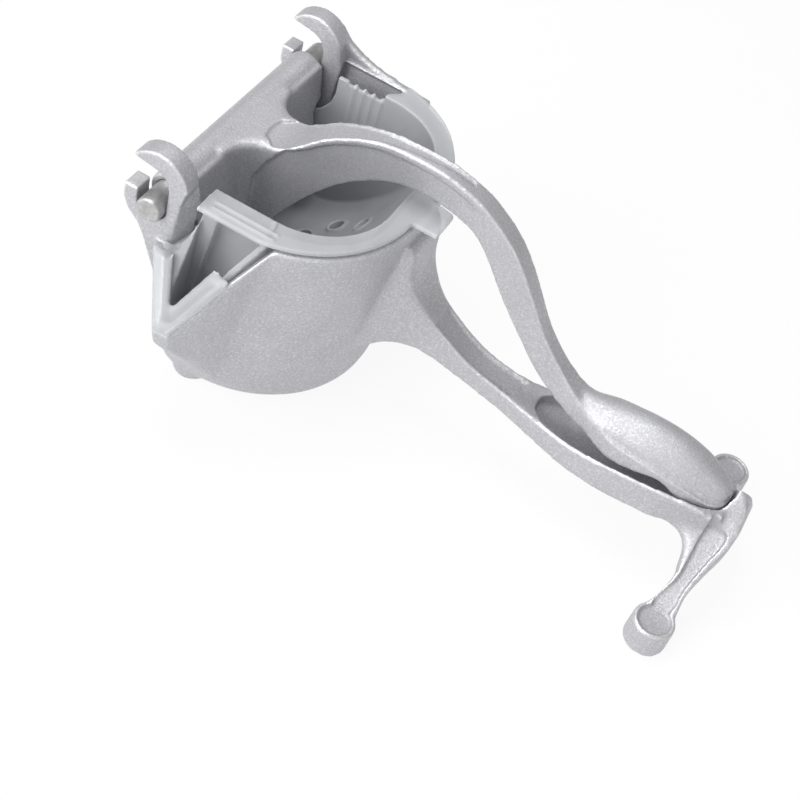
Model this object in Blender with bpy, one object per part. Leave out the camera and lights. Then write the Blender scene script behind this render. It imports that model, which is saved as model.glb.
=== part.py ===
"""Hand-press fruit juicer: a cast cup with a lower handle, a hinged press arm and a strainer liner.

Units are metres. The frame's origin is at the middle of the footprint, on the surface that the press
stands on: +X runs from the hinge to the grip, the pouring spout points to -Y, and +Z is up.
Shapes are drawn in press coordinates: x from the hinge axis, y from the middle plane, z from the table.
"""

import math

import bmesh
import bpy
from mathutils import Vector

# --- Driving dimensions ------------------------------------------------------------------------
OVERALL_LEFT = -0.0116       # lug beside the pin slot, from the hinge axis
OVERALL_RIGHT = 0.222        # end of the foot bar
SPOUT_TIP_Y = -0.076         # pouring tip
CUP_HALF_WIDTH = 0.056       # outside of the rim
HINGE_HEIGHT = 0.085
GAP = 0.0003                 # clearance kept between touching pieces
WELD = 0.0000005              # points closer than this after a cut are one point

# Cup
CUP_TOP = 0.091
CUP_BOTTOM = 0.0015
CUP_FRONT_TOP = 0.0755       # outer face of the wall on the handle side, at the rim
CUP_CORNER_TOP = 0.045       # plan radius at the rim
CUP_CORNER_BOTTOM = 0.046
CUP_AXIS_BOTTOM = 0.0206     # centre of the round bottom
CUP_FOOT_RADIUS = 0.010      # rounding between wall and bottom
CUP_WALL = 0.003
BACK_TOP_X = -0.005          # outer face of the wall under the hinge, at its top
BACK_BOTTOM_X = 0.006
BACK_WALL_TOP = 0.074
RING_STEPS = 14              # points on each quarter of a cup ring

# Hinge ears and pin
EAR_INNER = 0.047
EAR_OUTER = 0.055
EAR_STEP = 0.0700            # above this height an ear has its full thickness
EAR_BITE = 0.0006            # how deep an ear's lower end reaches into the cup's wall
SLOT_RADIUS = 0.0058
HORN_RADIUS = 0.012
HORN_CENTRE_Z = 0.0947
PIN_RADIUS = 0.0046
PIN_HALF_LENGTH = 0.0585
BARREL_RADIUS = 0.0072
BARREL_HALF_LENGTH = 0.0462
BARREL_BORE = PIN_RADIUS + GAP

# Liner
LINER_WALL = 0.002
TUB_HALF_WIDTH = 0.042       # inside of the strainer, across the press
TUB_FRONT = 0.0665           # inside of the strainer, handle side, at the rim
TUB_CORNER = 0.028
FLANGE_BOTTOM = 0.0918
FLANGE_TOP = 0.0936
TAB_CORNERS = [(0.067, -0.0120), (0.084, -0.0115), (0.084, 0.0025), (0.067, 0.0060)]
DRAIN_RADIUS = 0.003
DRAIN_ROWS = [(0.0264, 0.0365, 3, 0.0167), (0.0362, 0.0428, 4, 0.0155),
              (0.0480, 0.0550, 3, 0.0175)]                                # x, z, holes, pitch

# Lower handle and foot bar
RECESS_TOP = 0.070
TRAY_DEPTH = 0.0014
PAD_X = 0.2103
PAD_Y = 0.0421
PAD_RADIUS = 0.0079
PAD_HEIGHT = 0.0122
CUP_FOOT_X = 0.016
CUP_FOOT_Y = 0.038
CUP_FOOT_R = 0.007

HINGE_X = -(OVERALL_LEFT + OVERALL_RIGHT) / 2
MIDDLE_Y = -(SPOUT_TIP_Y + PIN_HALF_LENGTH) / 2


# --- Mesh helpers ------------------------------------------------------------------------------
def clear_scene():
    for obj in list(bpy.data.objects):
        bpy.data.objects.remove(obj, do_unlink=True)


def make_material(name, colour, roughness, metallic):
    material = bpy.data.materials.new(name)
    material.use_nodes = True
    shader = material.node_tree.nodes["Principled BSDF"]
    shader.inputs["Base Color"].default_value = (*colour, 1.0)
    shader.inputs["Roughness"].default_value = roughness
    shader.inputs["Metallic"].default_value = metallic
    return material


def make_object(name, bm, material=None):
    """A mesh object of triangles from a bmesh, with its normals turned outwards."""
    bmesh.ops.triangulate(bm, faces=bm.faces)
    bmesh.ops.recalc_face_normals(bm, faces=bm.faces)
    mesh = bpy.data.meshes.new(name)
    bm.to_mesh(mesh)
    bm.free()
    obj = bpy.data.objects.new(name, mesh)
    bpy.context.scene.collection.objects.link(obj)
    if material:
        mesh.materials.append(material)
    return obj


def curve_through(points, steps, closed=False):
    """Catmull-Rom curve through control points, with the same number of steps between each two."""
    count = len(points)
    found = []
    for i in range(count if closed else count - 1):
        if closed:
            a, b, c, d = (Vector(points[(i + k) % count]) for k in (-1, 0, 1, 2))
        else:
            a, b, c, d = (Vector(points[min(max(i + k, 0), count - 1)]) for k in (-1, 0, 1, 2))
        for step in range(steps):
            t = step / steps
            found.append(0.5 * (2 * b + (c - a) * t + (2 * a - 5 * b + 4 * c - d) * t * t
                                + (3 * b - a - 3 * c + d) * t ** 3))
    if not closed:
        found.append(Vector(points[-1]))
    return [tuple(point) for point in found]


def arc(cx, cy, radius, start, end, steps):
    """Points on a circle's arc, angles in degrees."""
    angles = [math.radians(start + (end - start) * i / steps) for i in range(steps + 1)]
    return [(cx + radius * math.cos(a), cy + radius * math.sin(a)) for a in angles]


def prism(name, outline, plane, low, high, material=None):
    """A closed outline in the XZ, XY or YZ plane, extruded from low to high across it."""
    place = {
        "XZ": lambda u, v: (u, low, v),
        "XY": lambda u, v: (u, v, low),
        "YZ": lambda u, v: (low, u, v),
    }[plane]
    way = {"XZ": Vector((0, 1, 0)), "XY": Vector((0, 0, 1)), "YZ": Vector((1, 0, 0))}[plane]
    bm = bmesh.new()
    face = bm.faces.new([bm.verts.new(place(u, v)) for u, v in outline])
    moved = bmesh.ops.extrude_face_region(bm, geom=[face])["geom"]
    verts = [part for part in moved if isinstance(part, bmesh.types.BMVert)]
    bmesh.ops.translate(bm, vec=way * (high - low), verts=verts)
    return make_object(name, bm, material)


def loft(name, rings, material=None):
    """A closed solid through rings of equal point counts, with flat caps."""
    bm = bmesh.new()
    layers = [[bm.verts.new(point) for point in ring] for ring in rings]
    count = len(rings[0])
    for lower, upper in zip(layers, layers[1:]):
        for i in range(count):
            j = (i + 1) % count
            bm.faces.new((lower[i], lower[j], upper[j], upper[i]))
    bm.faces.new(layers[0])
    bm.faces.new(layers[-1])
    return make_object(name, bm, material)


def hull(name, points, material=None):
    bm = bmesh.new()
    verts = [bm.verts.new(point) for point in points]
    made = bmesh.ops.convex_hull(bm, input=verts)
    loose = [part for part in made["geom_interior"] if isinstance(part, bmesh.types.BMVert)]
    bmesh.ops.delete(bm, geom=loose, context="VERTS")
    return make_object(name, bm, material)


def box(name, low, high, material=None):
    outline = [(low[0], low[1]), (high[0], low[1]), (high[0], high[1]), (low[0], high[1])]
    return prism(name, outline, "XY", low[2], high[2], material)


def rod(name, radius, low, high, steps=24, centre=(0.0, 0.0), plane="XZ", material=None):
    """A cylinder whose axis is at centre in the given plane."""
    outline = arc(*centre, radius, 0, 360 - 360 / steps, steps - 1)
    return prism(name, outline, plane, low, high, material)


def combine(target, other, operation, solver="EXACT"):
    """Applies one Boolean to the target's mesh and removes the other object."""
    modifier = target.modifiers.new(operation.lower(), "BOOLEAN")
    modifier.operation = operation
    modifier.solver = solver
    modifier.object = other
    graph = bpy.context.evaluated_depsgraph_get()
    mesh = bpy.data.meshes.new_from_object(target.evaluated_get(graph))
    bm = bmesh.new()
    bm.from_mesh(mesh)
    bmesh.ops.remove_doubles(bm, verts=bm.verts, dist=WELD)
    bmesh.ops.dissolve_degenerate(bm, edges=bm.edges, dist=WELD)
    bmesh.ops.triangulate(bm, faces=bm.faces)
    bm.to_mesh(mesh)
    bm.free()
    target.modifiers.clear()
    old = target.data
    target.data = mesh
    bpy.data.meshes.remove(old)
    bpy.data.objects.remove(other, do_unlink=True)
    return target


def union(target, *others):
    for other in others:
        combine(target, other, "UNION")
    return target


def cut(target, *others):
    for other in others:
        combine(target, other, "DIFFERENCE")
    return target


def copy_of(obj, name):
    twin = obj.copy()
    twin.data = obj.data.copy()
    twin.name = name
    twin.data.name = name
    bpy.context.scene.collection.objects.link(twin)
    return twin


# --- Cup ---------------------------------------------------------------------------------------
def back_face(z):
    """Outer face of the wall under the hinge: it leans in towards the bottom."""
    share = (z - CUP_BOTTOM) / (BACK_WALL_TOP - CUP_BOTTOM)
    return BACK_BOTTOM_X + (BACK_TOP_X - BACK_BOTTOM_X) * share


def cup_ring(z, inset, inwards=0.0):
    """The cup's plan at a height: a flat back, straight sides and a rounded front."""
    share = (z - CUP_BOTTOM) / (CUP_TOP - CUP_BOTTOM)
    radius = CUP_CORNER_BOTTOM + (CUP_CORNER_TOP - CUP_CORNER_BOTTOM) * share
    centre_x = CUP_AXIS_BOTTOM + (CUP_FRONT_TOP - CUP_CORNER_TOP - CUP_AXIS_BOTTOM) * share
    centre_y = (CUP_HALF_WIDTH - CUP_CORNER_TOP) * share
    radius -= inset
    back = back_face(z) + inwards
    quarter = arc(centre_x, centre_y, radius, 90, 0, RING_STEPS)
    corner_y = centre_y + radius
    half = [(back, corner_y * 0.93), (back + 0.004, corner_y)] + quarter
    return [(x, y, z) for x, y in half] + [(x, -y, z) for x, y in reversed(half)]


def cup_solid(name, inset, bottom, top):
    """The cup's outer form, or its cavity when inset by the wall."""
    rounding = CUP_FOOT_RADIUS - inset * 0.5
    rings = []
    for step in range(5):
        angle = math.radians(90 * step / 4)
        z = bottom + rounding * (1 - math.cos(angle))
        pull = rounding * (1 - math.sin(angle))
        rings.append(cup_ring(z, inset + pull, inset + pull * 0.6))
    rings.append(cup_ring(top, inset, inset))
    return loft(name, rings)


def spout_solid(name, wall):
    """The prow under the pouring lip: a wedge from the cup's side to the tip, less a wall."""
    tip = SPOUT_TIP_Y + wall * 1.6
    lift = wall * 1.3
    points = [
        (0.0445 - wall, -0.0535 + wall, CUP_TOP + lift * 0.2),
        (0.000 + wall, -0.0535 + wall, 0.080 + lift * 0.2),
        (0.0235, tip, 0.0535 + lift), (0.0175, tip, 0.0535 + lift),
        (0.0232, tip + 0.0012, 0.0475 + lift), (0.0178, tip + 0.0012, 0.0475 + lift),
        (0.031 - wall, -0.043 + wall, 0.006 + wall), (0.010 + wall, -0.043 + wall, 0.006 + wall),
        (0.040 - wall, -0.030, 0.020), (0.003 + wall, -0.030, 0.020),
        (0.040 - wall, -0.030, CUP_TOP), (0.003 + wall, -0.030, 0.080),
    ]
    return hull(name, points)


def spout_opening(name, wall):
    """The open room over the pouring channel, between its two sloping lips."""
    tip = SPOUT_TIP_Y + wall * 1.6
    low = [
        (0.0445 - wall, -0.0535 + wall, CUP_TOP - 0.001), (wall, -0.0535 + wall, 0.079),
        (0.0235, tip, 0.0525 + wall * 1.3), (0.0175, tip, 0.0525 + wall * 1.3),
        (0.0445 - wall, -0.0440, CUP_TOP - 0.001), (wall, -0.0440, 0.079),
    ]
    return hull(name, low + [(x, y, z + 0.06) for x, y, z in low])


def ear_outline():
    """The hinge ear: a post with an open slot for the pin, and a horn that hooks over it."""
    top = HORN_CENTRE_Z
    slot = [(-SLOT_RADIUS - 0.0008, 0.0885)]
    slot += arc(-0.0008, HINGE_HEIGHT - 0.0002, SLOT_RADIUS, 180, 345, 10)
    slot += [(0.0050, 0.0930), (0.0036, 0.0974), (0.0002, 0.0998), (-0.0040, 0.1006), (-0.0086, 0.1013)]
    horn = arc(-0.0002, top, HORN_RADIUS, 142, 10, 10)
    post = [(0.0116, 0.089), (0.0107, 0.080), (0.0105, 0.070), (0.0150, 0.045), (0.020, 0.012), (0.0090, 0.010),
            (0.0072, 0.022), (0.0030, 0.045), (-0.0024, 0.069), (-0.0052, 0.0742),
            (-0.0095, 0.0780), (-0.0116, 0.0825), (-0.0116, 0.0885)]
    return slot + horn + post


def ear(name, side):
    """One ear; its outer face leans in below the hinge, as the cup does."""
    low, high = sorted((side * EAR_INNER, side * EAR_OUTER))
    made = prism(name, ear_outline(), "XZ", low, high)
    for vert in made.data.vertices:
        drop = max(0.0, 0.070 - vert.co.z)
        vert.co.y -= side * drop * 0.2
    return made


def rear_sweep():
    """The web that carries the rim up to the rear horn."""
    top = curve_through([(0.0075, 0.1035), (0.0125, 0.0970), (0.022, 0.0925), (0.036, 0.0910)], 4)
    outline = [(0.036, 0.080), (0.006, 0.070)] + top
    return prism("rear_sweep", outline, "XZ", 0.0525, CUP_HALF_WIDTH - 0.0002)


def handle_plan(extra):
    """Half-widths of the lower handle: flared at the cup, slim, then wide under the grip."""
    stations = [(0.055, 0.0165), (0.070, 0.0145), (0.080, 0.0105), (0.092, 0.0074), (0.107, 0.0064),
                (0.124, 0.0068), (0.140, 0.0095), (0.155, 0.0125), (0.170, 0.0138), (0.188, 0.0138),
                (0.203, 0.0130), (0.2135, 0.0120)]
    edge = curve_through(stations, 3)
    return [(x, half - extra) for x, half in edge]


def handle_top():
    """Top edge of the lower handle, seen from the side."""
    return curve_through([(0.055, 0.086), (0.0765, 0.0830), (0.0810, 0.066), (0.0900, 0.0535),
                          (0.107, 0.0424), (0.124, 0.0378), (0.140, 0.0368), (0.155, 0.0370),
                          (0.171, 0.0388), (0.189, 0.0400), (0.203, 0.0398), (0.2135, 0.0390)], 3)


def handle_side():
    """Top and bottom edges of the lower handle, seen from the side."""
    under = curve_through([(0.2135, 0.026), (0.196, 0.0262), (0.171, 0.0245), (0.153, 0.0250),
                           (0.126, 0.0285), (0.104, 0.0333), (0.0905, 0.0360), (0.078, 0.0345),
                           (0.070, 0.0300), (0.055, 0.024)], 3)
    return handle_top() + under


def lower_handle_solid():
    """The lower handle before it is hollowed: its side view and its plan cut each other."""
    edge = handle_plan(0.0)
    plan = edge + [(x, -y) for x, y in reversed(edge)]
    solid = prism("lower_handle", handle_side(), "XZ", -0.020, 0.020)
    return combine(solid, prism("plan", plan, "XY", 0.0, 0.12), "INTERSECT")


def recess(name, edge, floor):
    """A cutter open upwards: a symmetric plan with a floor that follows the handle."""
    plan = edge + [(x, -y) for x, y in reversed(edge)]
    cutter = prism(name, plan, "XY", 0.015, RECESS_TOP)
    side = floor + [(floor[-1][0], RECESS_TOP + 0.01), (floor[0][0], RECESS_TOP + 0.01)]
    return combine(cutter, prism("floor", side, "XZ", -0.02, 0.02), "INTERSECT")


def handle_recesses():
    """The slim tray along the handle, and the well that the grip rests in."""
    tray = [(x, y) for x, y in handle_plan(0.0022) if 0.088 < x < 0.129]
    tray_floor = [(x, z - TRAY_DEPTH) for x, z in handle_top() if 0.085 < x < 0.136]
    well = curve_through([(0.134, 0.0045), (0.140, 0.0075), (0.155, 0.0105), (0.170, 0.0118),
                          (0.188, 0.0118), (0.203, 0.0112), (0.209, 0.0098), (0.2135, 0.0060),
                          (0.2145, 0.0020)], 3)
    well_floor = [(0.132, 0.0340), (0.150, 0.0295), (0.172, 0.0290), (0.198, 0.0305), (0.216, 0.0315)]
    return recess("tray", tray, tray_floor), recess("well", well, well_floor)


def foot_bar_solid():
    """The cross bar at the handle's end: a block on two arched legs, each on a round pad."""
    arch = curve_through([(0.0, 0.0460), (0.0035, 0.0425), (0.007, 0.0365), (0.013, 0.0305),
                          (0.019, 0.0250),
                          (0.028, 0.0185), (0.034, 0.0145), (0.0385, PAD_HEIGHT - 0.001)], 3)
    under = curve_through([(0.0385, 0.0040), (0.032, 0.0080), (0.026, 0.0120), (0.020, 0.0162),
                           (0.013, 0.0210), (0.008, 0.0240), (0.0, 0.0262)], 3)
    half = arch + under
    outline = half + [(-y, z) for y, z in reversed(half[1:-1])]
    bar = prism("foot_bar", outline, "YZ", PAD_X - 0.0055, OVERALL_RIGHT)
    outer = curve_through([(OVERALL_RIGHT, 0.0), (0.2217, 0.007), (0.2206, 0.013), (0.2184, 0.019),
                           (0.2153, 0.028), (0.2145, 0.040)], 3)
    inner = curve_through([(0.2065, 0.040), (0.2085, 0.031), (0.2092, 0.025), (0.2088, 0.019),
                           (0.2070, 0.013), (0.2050, 0.010), (0.2048, 0.0)], 3)
    half = outer + inner
    plan = half + [(x, -y) for x, y in reversed(half[1:-1])]
    combine(bar, prism("bar_plan", plan, "XY", -0.01, 0.08), "INTERSECT")
    end = [(0.200, -0.010), (0.200, 0.0465), (0.2145, 0.0465), (0.2175, 0.0452), (0.2200, 0.0415),
           (0.2216, 0.0347), (0.2225, 0.0227), (0.2225, -0.010)]
    combine(bar, prism("bar_end", end, "XZ", -0.08, 0.08), "INTERSECT")
    for side in (-1, 1):
        union(bar, rod("pad", PAD_RADIUS, 0.0, PAD_HEIGHT, 28, (PAD_X, side * PAD_Y), "XY"))
    return bar


def ear_room(name):
    """The room inside the cup and its spout that the ears leave free, up to their step."""
    room = cup_solid(name, CUP_WALL - EAR_BITE, CUP_BOTTOM + CUP_WALL, EAR_STEP)
    channel = spout_solid("ear_channel", CUP_WALL - EAR_BITE)
    combine(channel, box("low", (-0.03, -0.09, 0.0), (0.09, 0.0, EAR_STEP)), "INTERSECT")
    return room, channel


def base_casting():
    """The whole lower casting in one solid, before it is parted into nodes."""
    casting = cup_solid("casting", 0.0, CUP_BOTTOM, CUP_TOP)
    union(casting, spout_solid("spout", 0.0))
    cut(casting, box("slot_room", (-0.030, -0.090, BACK_WALL_TOP), (0.0080, 0.090, 0.130)))
    union(casting, rear_sweep(), lower_handle_solid(), foot_bar_solid())
    for side in (-1, 1):
        union(casting, rod("cup_foot", CUP_FOOT_R, 0.0, 0.012, 20, (CUP_FOOT_X, side * CUP_FOOT_Y), "XY"))
    cavity = cup_solid("cavity", CUP_WALL, CUP_BOTTOM + CUP_WALL, CUP_TOP + GAP)
    channel = spout_solid("channel", CUP_WALL)
    hinge_room = box("hinge_room", (-0.030, -EAR_INNER, BACK_WALL_TOP), (0.030, EAR_INNER, 0.130))
    cut(casting, cavity, channel, spout_opening("opening", CUP_WALL), hinge_room)
    for side, room in ((-1, "near_room"), (1, "far_room")):
        union(casting, cut(ear("ear", side), *ear_room(room)))
    lip_side = hull("lip_side", [(0.0445, -0.050, CUP_TOP + 0.0001), (0.0445, -0.085, CUP_TOP + 0.0001),
                                 (0.0206, -0.050, 0.0535), (0.0206, -0.085, 0.0535),
                                 (0.0142, -0.050, 0.0680), (0.0142, -0.085, 0.0680),
                                 (0.0142, -0.050, 0.100), (0.0142, -0.085, 0.100),
                                 (0.0445, -0.050, 0.100), (0.0445, -0.085, 0.100)])
    return cut(casting, lip_side, *handle_recesses())


def part_off(casting, name, low, high, material):
    """Takes the part of the casting inside a box as a node of its own, and clears the cut."""
    piece = copy_of(casting, name)
    piece.data.materials.clear()
    piece.data.materials.append(material)
    combine(piece, box("saw", low, high), "INTERSECT")
    grown = [Vector(corner) for corner in (low, high)]
    grown[0] -= Vector((GAP, GAP, GAP))
    grown[1] += Vector((GAP, GAP, GAP))
    cut(casting, box("saw", grown[0], grown[1]))
    return piece


# --- Liner -------------------------------------------------------------------------------------
def tub_plan(extra):
    """Plan of the strainer's opening, larger by extra."""
    radius = TUB_CORNER + extra
    corner = arc(TUB_FRONT - TUB_CORNER, TUB_HALF_WIDTH - TUB_CORNER, radius, 90, 0, 8)
    half = [(-0.010, TUB_HALF_WIDTH + extra)] + corner
    return half + [(x, -y) for x, y in reversed(half)]


def tub_floor():
    """Inside of the strainer's floor, seen from the side: close to an arc about the hinge."""
    return curve_through([(0.0115, 0.0338), (0.0190, 0.0337), (0.0280, 0.0370), (0.0380, 0.0440),
                          (0.0475, 0.0545), (0.0560, 0.0680), (0.0620, 0.0800), (TUB_FRONT, 0.0925)], 2)


def tub_side(extra):
    """Side view of the strainer, larger by extra: its floor, and a back that leans."""
    floor = []
    for x, z in tub_floor():
        reach = math.hypot(x, HINGE_HEIGHT - z)
        grow = (reach + extra) / reach
        floor.append((x * grow, HINGE_HEIGHT - (HINGE_HEIGHT - z) * grow))
    back = [(0.0040 - extra, 0.130), (0.0040 - extra, 0.0710), (0.0112 - extra, 0.0350 - extra)]
    return back + floor + [(TUB_FRONT + extra, 0.130)]


def tub_solid(name, extra):
    solid = prism(name, tub_plan(extra), "XY", 0.0, 0.12)
    return combine(solid, prism("side", tub_side(extra), "XZ", -0.06, 0.06), "INTERSECT")


def strainer_liner(material):
    """The plastic liner: strainer tub, flange on the rim, pouring channel and handle-side tab."""
    liner = tub_solid("strainer_liner", LINER_WALL)
    rim = cup_ring(CUP_TOP, CUP_WALL * 0.4)
    side_y = max(y for x, y, z in rim)
    flange_edge = [(0.0145, side_y)] + [(x, y) for x, y, z in rim if x > 0.0145] + [(0.0145, -side_y)]
    flange = prism("flange", flange_edge, "XY", FLANGE_BOTTOM, FLANGE_TOP)
    cut(flange, box("window", (-0.010, TUB_HALF_WIDTH + LINER_WALL / 2, 0.080), (0.0330, 0.070, 0.110)))
    tab = hull("tab", [(x, y, z) for x, y in TAB_CORNERS for z in (FLANGE_BOTTOM, FLANGE_TOP)])
    union(liner, flange, tab)
    top = box("top", (-0.03, -0.09, FLANGE_TOP), (0.10, 0.09, 0.140))
    spout = spout_solid("pour", CUP_WALL + GAP)
    spout_room = spout_solid("pour_room", CUP_WALL + GAP + LINER_WALL)
    cut(spout, box("behind", (-0.03, -TUB_HALF_WIDTH - 0.001, -0.01), (0.09, 0.0, 0.12)))
    cut(spout, spout_room, spout_opening("pour_opening", CUP_WALL + GAP + LINER_WALL))
    cut(liner, box("spout_window", (0.0145, -0.08, 0.0915), (0.0440, -0.0535, 0.12)))
    union(liner, spout)
    cut(liner, top, tub_solid("room", 0.0))
    cut(liner, box("barrel_room", (-0.02, -0.07, 0.0700), (0.0125, 0.07, 0.13)))
    cut(liner, box("ear_space", (-0.02, -0.0560, EAR_STEP - GAP), (0.0152, 0.0560, 0.13)))
    cut(liner, drain_rods())
    liner.data.materials.clear()
    liner.data.materials.append(material)
    return liner


def drain_rods():
    """One cutter for all the drain holes, which stand in rows across the trough."""
    bm = bmesh.new()
    for x, floor, count, pitch in DRAIN_ROWS:
        for i in range(count):
            y = (i - (count - 1) / 2) * pitch
            made = bmesh.ops.create_cone(bm, cap_ends=True, segments=12, radius1=DRAIN_RADIUS,
                                         radius2=DRAIN_RADIUS, depth=0.014)
            bmesh.ops.translate(bm, vec=(x, y, floor), verts=made["verts"])
    return make_object("drains", bm)


# --- Press arm ---------------------------------------------------------------------------------
def arm_side():
    """Side view of the arm: root on the barrel, over the cup, down to the grip."""
    top = curve_through([(0.000, 0.0915), (0.010, 0.0918), (0.022, 0.0937), (0.036, 0.1044), (0.053, 0.1114),
                         (0.075, 0.1126), (0.0907, 0.1092), (0.100, 0.1044), (0.1089, 0.0975),
                         (0.1156, 0.0896), (0.1216, 0.0812), (0.1308, 0.0680), (0.1424, 0.0566),
                         (0.152, 0.0505), (0.160, 0.0480)], 4)
    under = curve_through([(0.162, 0.0400), (0.150, 0.0415), (0.1378, 0.0475), (0.1287, 0.0550),
                           (0.1185, 0.0665), (0.1097, 0.0770), (0.101, 0.0885), (0.094, 0.0953),
                           (0.0864, 0.0980), (0.0767, 0.0993), (0.0688, 0.0990), (0.061, 0.0975),
                           (0.052, 0.0930), (0.043, 0.0865), (0.034, 0.0770), (0.026, 0.0660),
                           (0.0185, 0.0540), (0.0150, 0.0490)], 3)
    return top + under + [(0.0090, 0.0500), (0.0048, 0.0700), (0.000, 0.0820)]


def arm_plan():
    """Plan view of the arm: fanned out where it meets the barrel, then slim."""
    edge = curve_through([(0.0065, 0.0230), (0.0085, 0.0165), (0.013, 0.0115), (0.022, 0.0095),
                          (0.036, 0.0062),
                          (0.053, 0.0044), (0.075, 0.0042), (0.110, 0.0042), (0.131, 0.0038),
                          (0.1424, 0.0041), (0.153, 0.0060), (0.164, 0.0080)], 4)
    half = [(0.0, 0.0230)] + edge
    return half + [(x, -y) for x, y in reversed(half)]


def grip_solid():
    """The spoon-shaped grip: a dome over a skirt, lofted along the arm."""
    stations = [(0.150, 0.0045, 0.0520, 0.0440), (0.158, 0.0080, 0.0528, 0.0405),
                (0.168, 0.0108, 0.0545, 0.0372), (0.178, 0.0116, 0.0555, 0.0378),
                (0.188, 0.0116, 0.0550, 0.0396), (0.196, 0.0110, 0.0532, 0.0365),
                (0.203, 0.0099, 0.0505, 0.0348), (0.2085, 0.0078, 0.0475, 0.0345),
                (0.2115, 0.0050, 0.0450, 0.0352),
                (0.2130, 0.0020, 0.0430, 0.0365)]
    rings = []
    for x, half, top, low in stations:
        parting = low + (top - low) * 0.58
        dome = [(x, half * math.cos(math.radians(a)), parting + (top - parting) * math.sin(math.radians(a)))
                for a in range(0, 181, 20)]
        rings.append(dome + [(x, -half * 0.97, low + 0.0008), (x, -half * 0.8, low),
                             (x, half * 0.8, low), (x, half * 0.97, low + 0.0008)])
    return loft("grip", rings)


def press_plate():
    """The plate under the barrel that squeezes the fruit, narrower than the strainer."""
    side = [(-0.0032, 0.080), (0.0062, 0.0905), (0.0068, 0.0890), (0.0105, 0.0700), (0.0168, 0.0480),
            (0.0160, 0.0440), (0.0128, 0.0425), (0.0105, 0.0445), (0.0080, 0.0560), (0.0045, 0.0700)]
    plate = prism("plate", side, "XZ", -0.050, 0.050)
    outline = [(-0.0455, 0.095), (-0.0455, 0.0765), (-0.0400, 0.0740), (-0.0395, 0.0560)]
    outline += [(y, z) for y, z in arc(-0.0275, 0.0545, 0.0120, 180, 270, 5)]
    outline += [(-y, z) for y, z in reversed(outline)]
    return combine(plate, prism("front", outline, "YZ", -0.02, 0.04), "INTERSECT")


def press_arm(material):
    """The upper casting: barrel, press plate, ribbed arm and grip."""
    arm = prism("press_arm", arm_side(), "XZ", -0.030, 0.030)
    combine(arm, prism("plan", arm_plan(), "XY", 0.0, 0.14), "INTERSECT")
    barrel = rod("barrel", BARREL_RADIUS, -BARREL_HALF_LENGTH, BARREL_HALF_LENGTH, 32, (0.0, HINGE_HEIGHT))
    union(arm, barrel, press_plate(), grip_solid())
    cut(arm, rod("bore", BARREL_BORE, -0.06, 0.06, 32, (0.0, HINGE_HEIGHT)))
    arm.data.materials.clear()
    arm.data.materials.append(material)
    return arm


def hinge_pin(material):
    """The steel pin with domed ends, laid in the two slots."""
    steps = 5
    rings = []
    for end in (-1, 1):
        dome = []
        for step in range(steps):
            angle = math.radians(80 * step / (steps - 1))
            radius = PIN_RADIUS * math.cos(angle)
            along = PIN_HALF_LENGTH - 0.0022 + 0.0022 * math.sin(angle)
            dome.append((end * along, radius))
        rings.append(dome)
    profile = list(reversed(rings[0])) + rings[1]
    layers = []
    for y, radius in profile:
        layers.append([(x, y, z) for x, z in arc(0.0, HINGE_HEIGHT, radius, 0, 345, 23)])
    return loft("hinge_pin", layers, material)


# --- Assembly ----------------------------------------------------------------------------------
def place(obj, parent, offset):
    """Puts an object under a parent, with its mesh shifted so that its origin is the parent's."""
    for vert in obj.data.vertices:
        vert.co -= offset
    obj.parent = parent
    obj.data.shade_smooth()
    obj.data.set_sharp_from_angle(angle=math.radians(35))


def make_empty(name, location, parent=None):
    empty = bpy.data.objects.new(name, None)
    empty.location = location
    empty.parent = parent
    bpy.context.scene.collection.objects.link(empty)
    return empty


def build():
    clear_scene()
    aluminium = make_material("cast_aluminium", (0.62, 0.62, 0.64), 0.38, 0.9)
    steel = make_material("pin_steel", (0.42, 0.42, 0.42), 0.45, 1.0)
    plastic = make_material("milky_plastic", (0.80, 0.82, 0.84), 0.35, 0.0)

    casting = base_casting()
    ear_low = 0.0745
    front_ear = part_off(casting, "front_hinge_ear", (-0.020, -0.0570, ear_low), (0.0140, -0.0450, 0.120),
                         aluminium)
    rear_ear = part_off(casting, "rear_hinge_ear", (-0.020, 0.0450, ear_low), (0.0140, 0.0570, 0.120),
                        aluminium)
    handle = part_off(casting, "lower_handle", (0.0780, -0.030, 0.010), (0.2044, 0.030, 0.095), aluminium)
    foot_bar = part_off(casting, "foot_bar", (0.1900, -0.060, -0.001), (0.230, 0.060, 0.060), aluminium)
    casting.name = "cup"
    casting.data.materials.clear()
    casting.data.materials.append(aluminium)

    press_frame = make_empty("press_frame", (HINGE_X, MIDDLE_Y, 0.0))
    hinge_axis = make_empty("hinge_axis", (0.0, 0.0, HINGE_HEIGHT), press_frame)
    at_table = Vector((0.0, 0.0, 0.0))
    at_hinge = Vector((0.0, 0.0, HINGE_HEIGHT))
    for obj in (casting, front_ear, rear_ear, foot_bar, handle, strainer_liner(plastic)):
        place(obj, press_frame, at_table)
    for obj in (press_arm(aluminium), hinge_pin(steel)):
        place(obj, hinge_axis, at_hinge)


build()
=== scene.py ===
"""Looks of a hand-press fruit juicer: two cast aluminium levers, a steel hinge pin and a milky liner.

Shapes are drawn in press coordinates, in metres: x from the hinge axis towards the grip, y from the middle
plane with the spout at -Y, z from the table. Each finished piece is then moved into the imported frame.
"""

import logging
import math
from collections.abc import Callable, Sequence
from dataclasses import dataclass, field
from enum import Enum
from typing import ClassVar

import bmesh
import bpy
import numpy as np
from mathutils import Matrix, Vector


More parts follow.
